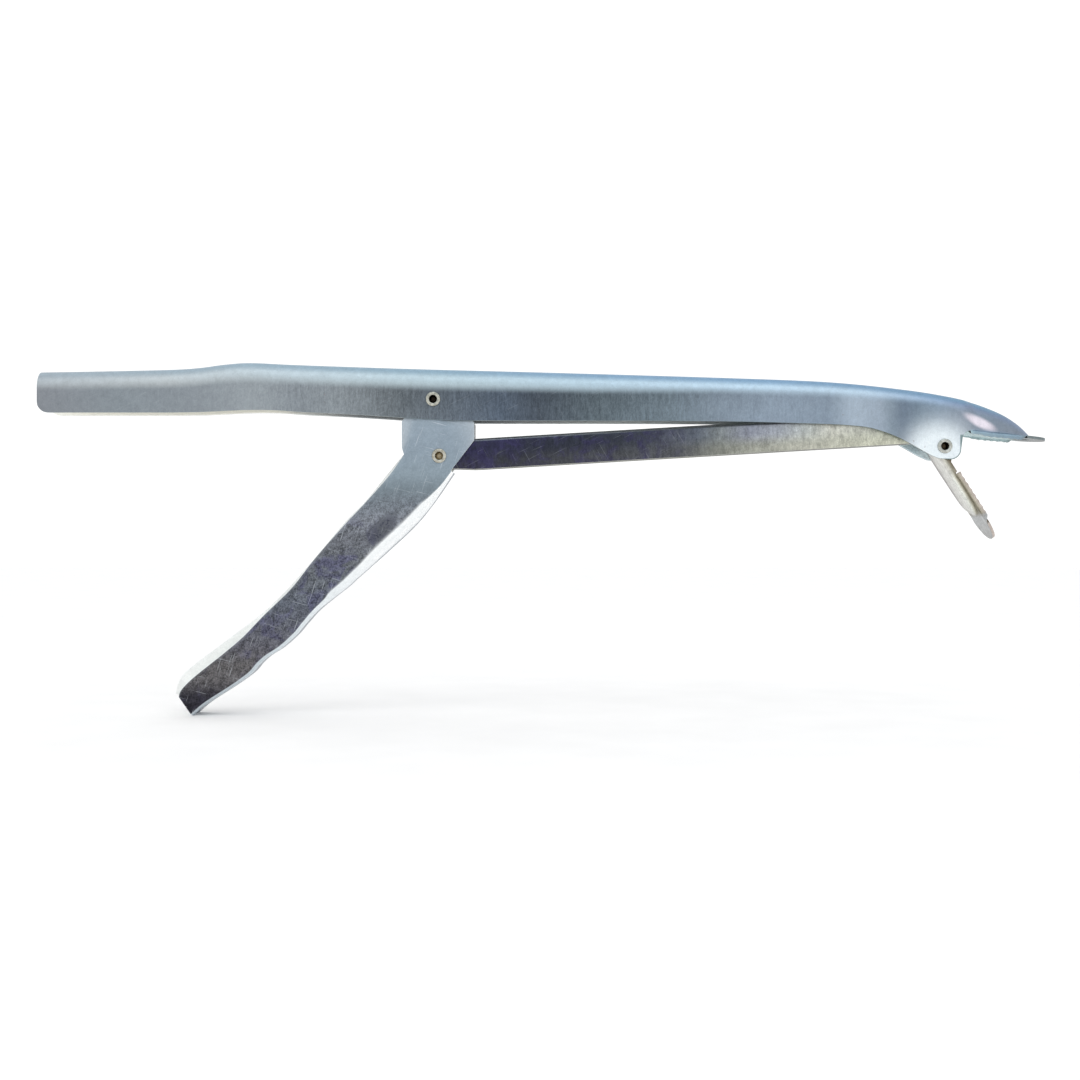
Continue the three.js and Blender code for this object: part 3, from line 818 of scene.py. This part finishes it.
def build_return_spring():
    """A torsion spring round the main rivet, with one leg on the roof and one on the web."""
    first = -COIL_TURNS * COIL_PITCH / 2
    steps = COIL_TURNS * 20
    points = [(SPRING_CHANNEL_LEG[0], first, SPRING_CHANNEL_LEG[1]), (-14.0, first, 7.0)]
    for i in range(steps + 1):
        angle = math.pi / 2 - 2 * math.pi * i / 20 - i * math.pi / (2 * steps)
        points.append((
            COIL_RADIUS * math.cos(angle), first + COIL_TURNS * COIL_PITCH * i / steps,
            COIL_RADIUS * math.sin(angle),
        ))
    points += [(-5.6, -first, -22.0), (SPRING_LEVER_LEG[0], -first, SPRING_LEVER_LEG[1])]
    curve = bpy.data.curves.new("wire", "CURVE")
    curve.dimensions = "3D"
    curve.bevel_depth = WIRE_RADIUS * MM
    curve.bevel_resolution = 3
    curve.resolution_u = 8
    curve.use_fill_caps = True
    line = curve.splines.new("BEZIER")
    line.bezier_points.add(len(points) - 1)
    for knot, point in zip(line.bezier_points, points):
        knot.co = place(*point)
        knot.handle_left_type = knot.handle_right_type = "AUTO"
    wire = add_object("wire", curve)
    depsgraph = bpy.context.evaluated_depsgraph_get()
    mesh = bpy.data.meshes.new_from_object(wire.evaluated_get(depsgraph))
    bpy.data.objects.remove(wire)
    spring = add_object("return_spring_wire", mesh)
    finish_shading(spring, 60)
    return spring


# ---------------------------------------------------------------- materials

GRAIN_RELIEF = 0.08


def linear(color):
    """A display colour 0xRRGGBB, a grey (a float) or a linear colour, as a linear colour."""
    if isinstance(color, tuple):
        return color
    if isinstance(color, float):
        return (color,) * 3
    shares = [(color >> shift & 255) / 255 for shift in (16, 8, 0)]
    return tuple(v / 12.92 if v <= 0.04045 else ((v + 0.055) / 1.055) ** 2.4 for v in shares)


def darker(color, factor):
    return tuple(factor * part for part in linear(color))


class NodeTree:
    """Short calls for a node tree."""

    def __init__(self, tree):
        self.tree = tree

    def node(self, kind, inputs=None, **settings):
        node = self.tree.nodes.new(kind)
        for key, value in settings.items():
            setattr(node, key, value)
        for key, value in (inputs or {}).items():
            self.feed(node.inputs[key], value)
        return node

    def feed(self, socket, value):
        if isinstance(value, bpy.types.NodeSocket):
            self.tree.links.new(value, socket)
        elif socket.type == "RGBA":
            socket.default_value = (*linear(value), 1)
        else:
            socket.default_value = value

    def math(self, operation, a, b=0.0):
        return self.node("ShaderNodeMath", {0: a, 1: b}, operation=operation).outputs[0]

    def times(self, a, b):
        return self.math("MULTIPLY", a, b)

    def vector(self, operation, a, b=(0, 0, 0)):
        """A vector operation. Its result is a number for DOT_PRODUCT, LENGTH and DISTANCE."""
        node = self.node("ShaderNodeVectorMath", {0: a, 1: b}, operation=operation)
        is_number = operation in ("DOT_PRODUCT", "LENGTH", "DISTANCE")
        return node.outputs["Value" if is_number else "Vector"]

    def spread(self, value, low, high, to_low=0.0, to_high=1.0):
        """to_low where the value is low, to_high where it is high, and even between them."""
        return self.node("ShaderNodeMapRange", {
            "Value": value, "From Min": low, "From Max": high, "To Min": to_low, "To Max": to_high,
        }).outputs[0]

    def ramp(self, factor, stops):
        """A colour ramp. Stops are (position, colour), or (position, grey)."""
        node = self.node("ShaderNodeValToRGB", {"Fac": factor})
        elements = node.color_ramp.elements
        while len(elements) < len(stops):
            elements.new(0.5)
        for element, (position, color) in zip(elements, stops):
            element.position = position
            element.color = (*linear(color), 1)
        return node.outputs["Color"]

    def blend(self, factor, a, b):
        """From a to b, which are colours, by a factor."""
        node = self.node("ShaderNodeMix", data_type="RGBA")
        self.feed(node.inputs[0], factor)
        self.feed(node.inputs[6], a)
        self.feed(node.inputs[7], b)
        return node.outputs[2]


class Surface(NodeTree):
    """A Principled material, painted by place in the linkage frame."""

    def __init__(self, name):
        self.material = bpy.data.materials.new(name)
        self.material.use_nodes = True
        super().__init__(self.material.node_tree)
        self.shader = self.tree.nodes["Principled BSDF"]
        self.position = self.node("ShaderNodeTexCoord").outputs["Object"]

    def along(self, direction, start=0.0):
        """How far a point is along a direction of the linkage frame, in millimetres."""
        direction = Vector(direction)
        dot = self.vector("DOT_PRODUCT", self.position, tuple(direction / MM))
        return self.math("SUBTRACT", dot, direction.dot(PIVOT_PLACE) / MM + start)

    def distance_from(self, center):
        """How far a point is from an axis along Y, in millimetres."""
        flat = self.vector("MULTIPLY", self.position, (1 / MM, 0, 1 / MM))
        target = place(center[0], 0, center[1]) / MM
        return self.vector("DISTANCE", flat, (target.x, 0, target.z))

    def facing(self, axis):
        """The part of the surface's normal along X, Y or Z."""
        normal = self.node("ShaderNodeNewGeometry").outputs["Normal"]
        return self.node("ShaderNodeSeparateXYZ", {"Vector": normal}).outputs[axis]

    def side_facing(self):
        """1 where the surface faces straight to a side of the tool, and 0 on its crests."""
        return self.math("ABSOLUTE", self.facing("Y"))

    def patch(self, center, lean, length, width):
        """1 in the middle of a long oval patch on the sides, and 0 outside it."""
        along = self.along((math.cos(lean), 0, math.sin(lean)),
                           center[0] * math.cos(lean) + center[1] * math.sin(lean))
        across = self.along((-math.sin(lean), 0, math.cos(lean)),
                            center[1] * math.cos(lean) - center[0] * math.sin(lean))
        shares = self.node("ShaderNodeCombineXYZ", {
            "X": self.math("DIVIDE", along, length), "Y": self.math("DIVIDE", across, width),
        })
        return self.step(self.vector("LENGTH", shares.outputs[0]), 1.0, 0.35)

    def step(self, value, start, stop):
        """0 at start and 1 at stop, smoothly."""
        return self.node("ShaderNodeMapRange", {
            "Value": value, "From Min": start, "From Max": stop,
        }, interpolation_type="SMOOTHSTEP").outputs[0]

    def tone(self, distance, stops):
        """Colours or greys at distances in millimetres along a line."""
        low, high = stops[0][0], stops[-1][0]
        return self.ramp(self.spread(distance, low, high), [
            ((at - low) / (high - low), value) for at, value in stops
        ])

    def profile(self, distance, points):
        """The height, in millimetres, of a line of (distance, height) points."""
        low, high = min(z for _, z in points), max(z for _, z in points)
        share = self.tone(distance, [(at, (z - low) / (high - low)) for at, z in points])
        return self.math("ADD", self.times(share, high - low), low)

    def scaled(self, color, factor):
        """A colour made lighter or darker by a factor."""
        return self.node("ShaderNodeVectorMath", {
            0: color, "Scale": factor,
        }, operation="SCALE").outputs["Vector"]

    def varied(self, color, swing, amount):
        """A colour made lighter where swing is over 0, and darker where it is under 0."""
        return self.scaled(color, self.math("ADD", self.times(swing, amount), 1.0))

    def stretched(self, scale, lean=0.0):
        """The place on the object, turned about Y and then scaled along each axis."""
        turned = self.node("ShaderNodeVectorRotate", {
            "Vector": self.position, "Angle": lean,
        }, rotation_type="Y_AXIS").outputs["Vector"]
        return self.vector("MULTIPLY", turned, scale)

    def noise(self, vector, scale, detail=4.0, roughness=0.6, distortion=0.0):
        return self.node("ShaderNodeTexNoise", {
            "Vector": vector, "Scale": scale, "Detail": detail, "Roughness": roughness,
            "Distortion": distortion,
        }).outputs["Fac"]


def wear(surface, color, mottle, scratch, lean=0.0, roughness=0.36, metallic=0.9):
    """Put mottling, fine scratches, roughness and relief on a plating colour."""
    patches = surface.noise(surface.stretched((1, 1, 1), lean), 420, 5, 0.65, 0.5)
    fine = surface.noise(surface.stretched((1, 1, 1), lean), 2200, 3, 0.6)
    grain = surface.math("ADD", surface.times(patches, 0.55), surface.times(fine, 0.45))
    shade = surface.ramp(grain, [(0.36, 0.0), (0.64, 1.0)])
    color = surface.varied(color, surface.math("SUBTRACT", shade, 0.5), 2 * mottle)
    for turn, amount in ((lean + 0.45, 1.0), (lean - 1.05, 0.8)):
        lines = surface.noise(surface.stretched((0.5, 1, 16), turn), 170, 2, 0.5)
        marks = surface.ramp(lines, [(0.67, 0.0), (0.72, 1.0)])
        color = surface.blend(surface.times(marks, amount * scratch), color, 0xdee4ea)
    surface.feed(surface.shader.inputs["Base Color"], color)
    surface.shader.inputs["Metallic"].default_value = metallic
    rough = surface.spread(grain, 0.3, 0.7, roughness + 0.1, roughness - 0.08)
    surface.feed(surface.shader.inputs["Roughness"], rough)
    relief = surface.node("ShaderNodeBump", {
        "Strength": 0.25, "Distance": GRAIN_RELIEF * MM, "Height": grain,
    })
    surface.feed(surface.shader.inputs["Normal"], relief.outputs[0])
    return surface.material


def streaks(surface, color, strength):
    """Rolling streaks up and down the sheet. strength is a number or a socket."""
    coarse = surface.noise(surface.stretched((6, 1, 1)), 130, 4, 0.7, 0.3)
    fine = surface.noise(surface.stretched((3, 1, 1.2)), 640, 4, 0.7)
    both = surface.math("ADD", surface.times(coarse, 0.5), surface.times(fine, 0.5))
    return surface.varied(color, surface.spread(both, 0.38, 0.62, -1.0, 1.0), strength)


def channel_plating():
    """The channel's outside: dull flats whose tone along the channel is partly painted reflection, a
    painted reflection as a light band along each shoulder, and a painted blue sky reflection on the crest.
    """
    surface = Surface("zinc_body")
    along = surface.along((1, 0, 0))
    # The flats' tone along the channel is partly the plating's grey and partly painted reflection: darkest
    # along the body, lighter at the handle and by the ears.
    flat = surface.tone(along, [
        (-151, 0x8c9096), (-120, 0x8d959b), (-90, 0x90979d), (-68, 0x9da4a9), (-52, 0x8d949a),
        (-35, 0x8e959a), (-15, 0x6c7378), (25, 0x596472), (40, 0x4d555f), (62, 0x5d686f),
        (90, 0x707d86), (110, 0x83909d), (130, 0x8f9dac), (150, 0x8a98a7), (160, 0xacbac8),
        (170, 0xa0adbb), (174, 0x8a98a5), (178.5, 0x728090), (184, 0x7c8c9b), (192, 0x8a9aaa),
        (202, 0x8e98a6), (212, 0x8894a2), (235, 0x8c929c),
    ])
    swing = surface.tone(along, [
        (-151, 0.05), (-70, 0.08), (-52, 0.2), (-10, 0.32), (60, 0.34), (100, 0.2), (150, 0.08),
        (235, 0.02),
    ])
    flat = streaks(surface, flat, swing)
    # The darkest stretch is lighter towards its lower edge
    height = surface.along((0, 0, 1))
    paler = surface.tone(along, [(-40, 0.0), (-10, 0.16), (80, 0.2), (130, 0.1), (160, 0.0)])
    slope = surface.math("SUBTRACT", surface.step(height, 4.0, -7.0), 0.45)
    flat = surface.varied(flat, slope, paler)
    # Painted highlight: the ears are painted near white round a point low on the ear, fading out over about
    # 20 mm.
    ear = surface.distance_from((192.0, -22.0))
    ear_highlight = surface.tone(ear, [(0, 1.0), (8, 1.0), (11.5, 0.66), (15, 0.22), (18, 0.05), (21, 0.0)])
    flat = surface.blend(ear_highlight, flat, 0xf0f8fc)
    # Painted highlight: a lens-shaped light patch on the nose's side wall.
    lens = surface.patch((208.2, -8.8), -0.44, 8.8, 2.5)
    flat = surface.blend(lens, flat, 0xf0e8f2)
    # Painted reflection: a light band along each shoulder.
    shoulder = surface.tone(along, [
        (-151, 0xb6bbbe), (-100, 0xc2c7c8), (-60, 0xc0cbd0), (0, 0xbacad0), (60, 0xb8cbd6),
        (120, 0xbcd0de), (165, 0xb8cad8), (192, 0x9cb0c8), (203, 0x8692ac), (220, 0x8490a8),
        (235, 0x8c96a5),
    ])
    # Painted reflection: the crest is tinted like a blue sky.
    crest = surface.tone(along, [
        (-151, 0xacb6bc), (-60, 0xa2b6c1), (0, 0x94b0c0), (40, 0x8cacc4), (130, 0x80a4c2),
        (190, 0x769ab6), (212, 0x749cb4), (224, 0x8898ac), (235, 0x828c98),
    ])
    upward = surface.facing("Z")
    depth = surface.math("SUBTRACT", surface.profile(along, CREST), height)
    # How deep under the crest the painted shoulder reflection reaches, along the channel.
    limit = surface.profile(along, [
        (-151, 6.2), (-90, 6.7), (0, 7.5), (60, 7.0), (109, 5.5), (150, 5.1), (177, 4.4),
        (195, 3.6), (204, 3.4), (220, 2.6), (235, 1.2),
    ])
    below_limit = surface.math("SUBTRACT", depth, limit)
    color = surface.blend(surface.step(below_limit, 1.9, -1.9), flat, shoulder)
    color = surface.blend(surface.step(upward, 0.46, 0.93), color, crest)
    # The brim's lip takes a duller tone of its own, darker towards the tip, with painted shade in the
    # crease at its foot
    below_brim = surface.along((math.sin(BRIM_SLOPE), 0, math.cos(BRIM_SLOPE)))
    level = math.sin(BRIM_SLOPE) * BRIM_START + math.cos(BRIM_SLOPE) * BRIM_TOP
    lip = surface.times(surface.step(below_brim, level + 0.5, level + 0.1),
                       surface.step(along, BRIM_START - 0.2, BRIM_START + 0.2))
    lip_color = surface.tone(along, [
        (204, 0xb0c6cc), (206, 0x96acb8), (222, 0x8ca0ae), (228, 0x7e8488), (235, 0x646462),
    ])
    color = surface.blend(lip, color, lip_color)
    # Painted shade: faces turned down, the upright end of the ears and a thin line round the ears' rounded
    # corner are darker
    downward_shade = surface.step(upward, -0.08, -0.3)
    end = surface.times(surface.step(surface.side_facing(), 0.95, 0.8),
                       surface.times(surface.step(along, 203.0, 202.0),
                                    surface.step(upward, 0.2, 0.05)))
    past_corner = surface.node("ShaderNodeCombineXYZ", {
        "X": surface.math("MAXIMUM", surface.math("SUBTRACT", along, EAR_CORNER[0]), 0.0),
        "Z": surface.math("MINIMUM", surface.math("SUBTRACT", height, EAR_CORNER[1]), 0.0),
    })
    round_ear = surface.vector("LENGTH", past_corner.outputs[0])
    outline = surface.times(surface.step(round_ear, 3.45, 3.8),
                           surface.times(surface.step(round_ear, 5.3, 4.9),
                                        surface.step(height, -13.2, -14.0)))
    worn_and_shaded = surface.math("MAXIMUM", outline, surface.math("MAXIMUM", downward_shade, end))
    color = surface.blend(worn_and_shaded, color, 0x849698)
    rust = surface.ramp(surface.noise(surface.stretched((1, 1, 1), 0.7), 520, 2, 0.5),
                        [(0.75, 0.0), (0.79, 0.5)])
    color = surface.blend(rust, color, 0x8a7468)
    return wear(surface, color, 0.09, 0.07)


def channel_inside():
    """The channel's inside, with painted light and shade: bright under the hand grip and by the ears, and
    shaded along the body and at the nose's end.
    """
    surface = Surface("zinc_body_inside")
    color = surface.tone(surface.along((1, 0, 0)), [
        (-151, 0xfcfbf4), (-62, 0xfcfbf4), (-48, 0xd6d8d6), (-30, 0xa0a4a6), (20, 0x969a9c),
        (60, 0xced2d0), (150, 0xced6d8), (168, 0xdeeef6), (195, 0xe2f2f8), (206, 0xc4d6d8),
        (222, 0xbaccce), (226, 0x787e80), (235, 0x6e7070),
    ])
    return wear(surface, color, 0.06, 0.1)


def cut_edge(name, color):
    """The worn, bright cut edge of a pressing."""
    surface = Surface(name)
    soft = surface.ramp(surface.noise(surface.position, 800, 3, 0.6), [
        (0.35, darker(color, 0.8)), (0.6, color),
    ])
    return wear(surface, soft, 0.06, 0.0, roughness=0.3)


def lever_plating():
    """The lever's outside: painted reflection makes its ears light, its mottled flats with purple stains
    dark and its folds white, with painted shade in a crease and on the far side of the web.
    """
    surface = Surface("zinc_lever")
    down = surface.along((0, 0, 1))
    # Painted reflection: the flats darken from the ears down towards the grip's end.
    flat = surface.tone(down, [
        (-121, 0x26252e), (-113, 0x36353c), (-107, 0x626062), (-101, 0x626061), (-94, 0x62626a),
        (-78, 0x616670), (-64, 0x686c71), (-54, 0x70737a), (-46, 0x7e828a), (-39, 0x7a828a),
        (-34, 0x7e8a92), (-28, 0x92a0aa), (-18, 0x94a2ae), (-8, 0x9caab6), (6, 0xa0aeba),
    ])
    stain = surface.ramp(surface.noise(surface.stretched((1, 1, 1), 0.8), 120, 3, 0.6, 0.8),
                         [(0.50, 0.0), (0.62, 0.55)])
    stained = surface.tone(down, [(-110, 0.2), (-95, 0.7), (-60, 1.0), (-44, 0.2), (-36, 0.0)])
    flat = surface.blend(surface.times(stain, stained), flat,
                         0x4e4c70)
    speckle = surface.noise(surface.position, 1500, 4, 0.75)
    blotches = surface.noise(surface.stretched((1, 1, 1.6), 0.8), 300, 4, 0.7, 0.4)
    pits = surface.ramp(surface.math("ADD", surface.times(speckle, 0.55),
                                     surface.times(blotches, 0.45)),
                        [(0.42, 0.0), (0.58, 1.0)])
    depth = surface.tone(down, [(-121, 0.5), (-50, 0.55), (-40, 0.36), (-34, 0.08), (6, 0.02)])
    swing = surface.times(surface.math("SUBTRACT", pits, 0.5), 2.0)
    flat = surface.varied(flat, swing, depth)
    # Painted shade in a crease of the flange, mottled by the pits.
    crease_shade = surface.times(surface.patch((-19.5, -49.5), 0.8, 10, 4.5), pits)
    flat = surface.blend(crease_shade, flat, 0x424450)
    side = surface.side_facing()
    # Painted reflection: the folds and the web are near white.
    fold = surface.tone(down, [
        (-121, 0xc4ccd2), (-100, 0xced8de), (-80, 0xecf2f5), (-60, 0xfafdfe), (6, 0xfcfefe),
    ])
    color = surface.blend(surface.step(side, 0.995, 0.93), flat, fold)
    # Painted shade: the far half of the web, where it turns away, is grey.
    far_web_shade = surface.times(surface.step(surface.along((0, 1, 0)), -3.4, -1.2),
                          surface.step(side, 0.95, 0.9))
    color = surface.blend(far_web_shade, color, 0x8a9098)
    return wear(surface, color, 0.08, 0.5, lean=0.8)


def rod_plating():
    """The rod's outside: painted reflection makes it nearly black by the lever, and paler and warmer
    towards the jaw; its rounded top is painted lighter.
    """
    surface = Surface("zinc_rod")
    along = surface.along((1, 0, 0))
    # Painted reflection: nearly black by the lever and paler towards the jaw, cooler above the middle line
    # and warmer below it.
    cool = surface.tone(along, [
        (0, 0x2e333c), (20, 0x323444), (60, 0x353943), (80, 0x424650), (92, 0x565a64),
        (101, 0x656c76), (110, 0x848a8c), (120, 0x8f93a0), (132, 0xa7acb5), (143, 0xbcc1be),
        (152, 0xcecec4), (166, 0xced0c6), (200, 0xc8cabe),
    ])
    warm = surface.tone(along, [
        (0, 0x303139), (92, 0x56585c), (110, 0x868880), (143, 0xb6b6aa), (166, 0xc4c5b4),
        (200, 0xc2c2b0),
    ])
    lean = math.atan2(CRANK_PIVOT[1] - ROD_PIVOT[1], CRANK_PIVOT[0] - ROD_PIVOT[0])
    middle_line = ROD_PIVOT[1] * math.cos(lean) - ROD_PIVOT[0] * math.sin(lean)
    height = surface.along((-math.sin(lean), 0, math.cos(lean)))
    color = surface.blend(surface.step(height, middle_line + 2, middle_line - 4), cool, warm)
    stain = surface.ramp(surface.noise(surface.stretched((1, 1, 1)), 110, 4, 0.7, 0.6),
                         [(0.44, 0.0), (0.62, 0.7)])
    stained = surface.tone(along, [(0, 1.0), (80, 0.9), (105, 0.0)])
    color = surface.blend(surface.times(stain, stained), color,
                          0x3c385c)
    color = streaks(surface, color, 0.22)
    # Painted light: the rounded top, turning up from the sides, is lighter.
    side = surface.side_facing()
    top = surface.tone(along, [(0, 0x969ca6), (200, 0xc8ccc8)])
    color = surface.blend(surface.step(side, 0.98, 0.8), color, top)
    return wear(surface, color, 0.24, 0.12)


def jaw_plating():
    """The lower jaw's outside: a dome made bright by a painted highlight, painted shade in the crease at
    its foot and a duller brim.
    """
    surface = Surface("zinc_jaw")
    lean_cos, lean_sin = math.cos(JAW_REST_ANGLE), math.sin(JAW_REST_ANGLE)
    pivot_along = JAW_PIVOT[0] * lean_cos - JAW_PIVOT[1] * lean_sin
    pivot_up = -JAW_PIVOT[0] * lean_sin - JAW_PIVOT[1] * lean_cos
    along = surface.along((lean_cos, 0, -lean_sin), pivot_along)
    up = surface.along((-lean_sin, 0, -lean_cos), pivot_up)
    # Across the jaw: painted shade in the crease at the dome's foot and a painted highlight near the top of
    # the dome.
    color = surface.tone(up, [
        (-9, 0xa09a8e), (0.3, 0xbaaaa2), (0.9, 0xc4bab0), (1.7, 0xb2ac9c), (2.1, 0x787260),
        (2.45, 0x969282), (2.8, 0xcccabc), (3.3, 0xe6e8e0), (3.9, 0xd8dad4),
    ])
    neck = surface.tone(along, [(-8, 1.0), (7.5, 1.0), (10.8, 0.55), (12.5, 0.0)])
    # Painted shade on the neck, darkest low on its flange, and painted light near the top of the dome.
    neck_tone_and_shade = surface.tone(up, [
        (-9, 0xaca89e), (1.0, 0x706656), (1.8, 0x928c7c), (2.8, 0xcecdc2), (3.8, 0xceccc8),
    ])
    color = surface.blend(neck, color, neck_tone_and_shade)
    # Painted light and shade: the dome's back is light on the near side and darker towards the far side.
    back_light_to_shade = surface.tone(surface.along((0, 1, 0)), [
        (-6, 0xdcdcd6), (2.5, 0xc4c3be), (4.5, 0x969290), (7, 0x8c8886),
    ])
    on_dome = surface.step(up, 2.4, 2.9)
    color = surface.blend(surface.times(surface.step(surface.side_facing(), 0.5, 0.2),
                                       on_dome), color, back_light_to_shade)
    tip = surface.tone(along, [(28.6, 0.0), (30.2, 1.0), (41, 1.0)])
    tip_color = surface.tone(along, [
        (28, 0x8c8882), (31, 0xb0b2b2), (41, 0x9e9e9c),
    ])
    color = surface.blend(tip, color, tip_color)
    return wear(surface, color, 0.2, 0.15, lean=1.0)


def plain_plating(name, color, roughness=0.36, metallic=0.9):
    surface = Surface(name)
    soft = surface.ramp(surface.noise(surface.position, 90, 3, 0.6), [
        (0.35, darker(color, 0.88)), (0.65, color),
    ])
    return wear(surface, soft, 0.08, 0.2, roughness=roughness, metallic=metallic)


def turned_steel(name, light, dark, under=None, hollow=0x221c16):
    """Plated turned steel. Inside its bores, nearer the middle than under, it takes the hollow colour."""
    surface = Surface(name)
    patches = surface.noise(surface.position, 900, 4, 0.6)
    color = surface.ramp(patches, [(0.35, dark), (0.6, light)])
    if under is not None:
        across = surface.math("ABSOLUTE", surface.along((0, 1, 0)))
        inside_bore = surface.step(across, under + 0.5, under - 0.1)
        color = surface.blend(inside_bore, color, hollow)
    return wear(surface, color, 0.08, 0.0, roughness=0.3)


# ---------------------------------------------------------------- pieces

PIECES = [
    (build_main_channel([channel_plating(), channel_inside(),
                         cut_edge("cut_edge_body", 0x808a8c)]),
     "main_channel", "channel", "zinc_sheet"),
    (build_squeeze_lever([lever_plating(),
                          plain_plating("zinc_lever_inside", 0xfcfefc, 0.5, 0.3),
                          cut_edge("cut_edge_lever", 0xd6dadc)]),
     "squeeze_lever", "lever", "zinc_sheet_dark"),
    (build_connecting_rod([rod_plating(),
                           plain_plating("zinc_rod_inside", 0x969692),
                           cut_edge("cut_edge_rod", 0xbebeb4)]),
     "connecting_rod", "rod", "zinc_sheet_dark"),
    (build_lower_jaw([jaw_plating(),
                      plain_plating("zinc_jaw_inside", 0xbebaae),
                      cut_edge("cut_edge_jaw", 0xc4b8b0)]),
     "lower_jaw", "jaw", "zinc_sheet_warm"),
    (build_rivet("main_rivet_turned", MAIN_PIVOT, GRIP_HALF_WIDTH), "main_pivot_rivet",
     "channel", "rivet_steel"),
    (build_rivet("rod_rivet_turned", ROD_PIVOT, LEVER_HALF_WIDTH), "rod_pivot_rivet",
     "lever", "rivet_steel"),
    (build_rivet("jaw_rivet_turned", JAW_PIVOT, EAR_HALF_WIDTH), "jaw_pivot_rivet",
     "channel", "rivet_steel"),
    (build_crank_pin(), "crank_pin", "jaw", "pin_steel"),
]
TURNED_FINISHES = {
    "main_pivot_rivet": turned_steel(
        "rivet_plating", 0xc6c5ba, 0x96968c, GRIP_HALF_WIDTH),
    "rod_pivot_rivet": turned_steel(
        "rivet_plating_warm", 0xceccc0, 0xa09a8a, LEVER_HALF_WIDTH,
        0xa89c82),
    "jaw_pivot_rivet": turned_steel(
        "rivet_plating_dull", 0xced0ca, 0xa8a8a0, EAR_HALF_WIDTH,
        0x463c2e),
    "crank_pin": turned_steel("pin_plating", 0xa0a09e, 0x787672),
}
for piece, node, body, slot in PIECES:
    if node in TURNED_FINISHES:
        piece.data.materials.append(TURNED_FINISHES[node])
    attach(piece, body)
    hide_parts(node)

spring = build_return_spring()
spring.data.materials.append(turned_steel("spring_steel", 0x787c82, 0x46484c))
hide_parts("return_spring")
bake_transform(spring)

# ---------------------------------------------------------------- floor, light and camera

FLOOR_SIZE = 6.0
CAMERA_PLACE = (-0.00149, -0.570, 0.06702)
LENS_MM = 49.3
ROOM_WHITE = 1.12


def build_floor():
    floor = bmesh.new()
    bmesh.ops.create_grid(floor, x_segments=2, y_segments=2, size=FLOOR_SIZE / 2)
    mesh = bpy.data.meshes.new("floor")
    floor.to_mesh(mesh)
    floor.free()
    obj = add_object("floor", mesh)
    obj.location.z = CAD_BOX[0][2]
    surface = Surface("floor_paper")
    paper = surface.noise(surface.position, 30, 3, 0.5)
    surface.feed(surface.shader.inputs["Base Color"],
                 surface.ramp(paper, [(0.3, 0.90), (0.7, 0.93)]))
    surface.shader.inputs["Roughness"].default_value = 0.9
    mesh.materials.append(surface.material)


def area_light(name, where, towards, size, power):
    light = bpy.data.lights.new(name, "AREA")
    light.shape = "RECTANGLE"
    light.size, light.size_y = size
    light.energy = power
    obj = add_object(name, light)
    obj.location = where
    obj.rotation_euler = (Vector(towards) - Vector(where)).to_track_quat("-Z", "Y").to_euler()


def build_world():
    """A room that is plain white to the eye and the floor, with a faint blue sky in the metal."""
    world = bpy.data.worlds.new("studio")
    bpy.context.scene.world = world
    world.use_nodes = True
    room = NodeTree(world.node_tree)
    way = room.node("ShaderNodeTexCoord").outputs["Generated"]
    up = room.node("ShaderNodeSeparateXYZ", {"Vector": way}).outputs["Z"]
    sky = room.ramp(room.spread(up, -1, 1), [(0.0, 1.0), (0.42, 1.0), (0.5, 0.9), (0.62, (0.9, 0.93, 0.95)),
                            (1.0, (0.85, 0.93, 1.0))])
    path = room.node("ShaderNodeLightPath").outputs
    plain = room.math("MAXIMUM", path["Is Camera Ray"], path["Is Diffuse Ray"])
    shown = room.blend(plain, sky, (ROOM_WHITE,) * 3)
    room.feed(world.node_tree.nodes["Background"].inputs["Color"], shown)


def build_camera():
    camera = bpy.data.cameras.new("camera")
    camera.sensor_width = 36
    camera.lens = LENS_MM
    camera.clip_start = 0.01
    camera.clip_end = 20
    obj = add_object("camera", camera)
    obj.location = CAMERA_PLACE
    obj.rotation_euler = (math.radians(90), 0, 0)
    bpy.context.scene.camera = obj


build_floor()
build_world()
area_light("key", (0.1, -0.5, 0.9), (0, 0, 0.1), (1.2, 0.6), 0.7)
build_camera()
bpy.context.scene.view_settings.view_transform = "Standard"
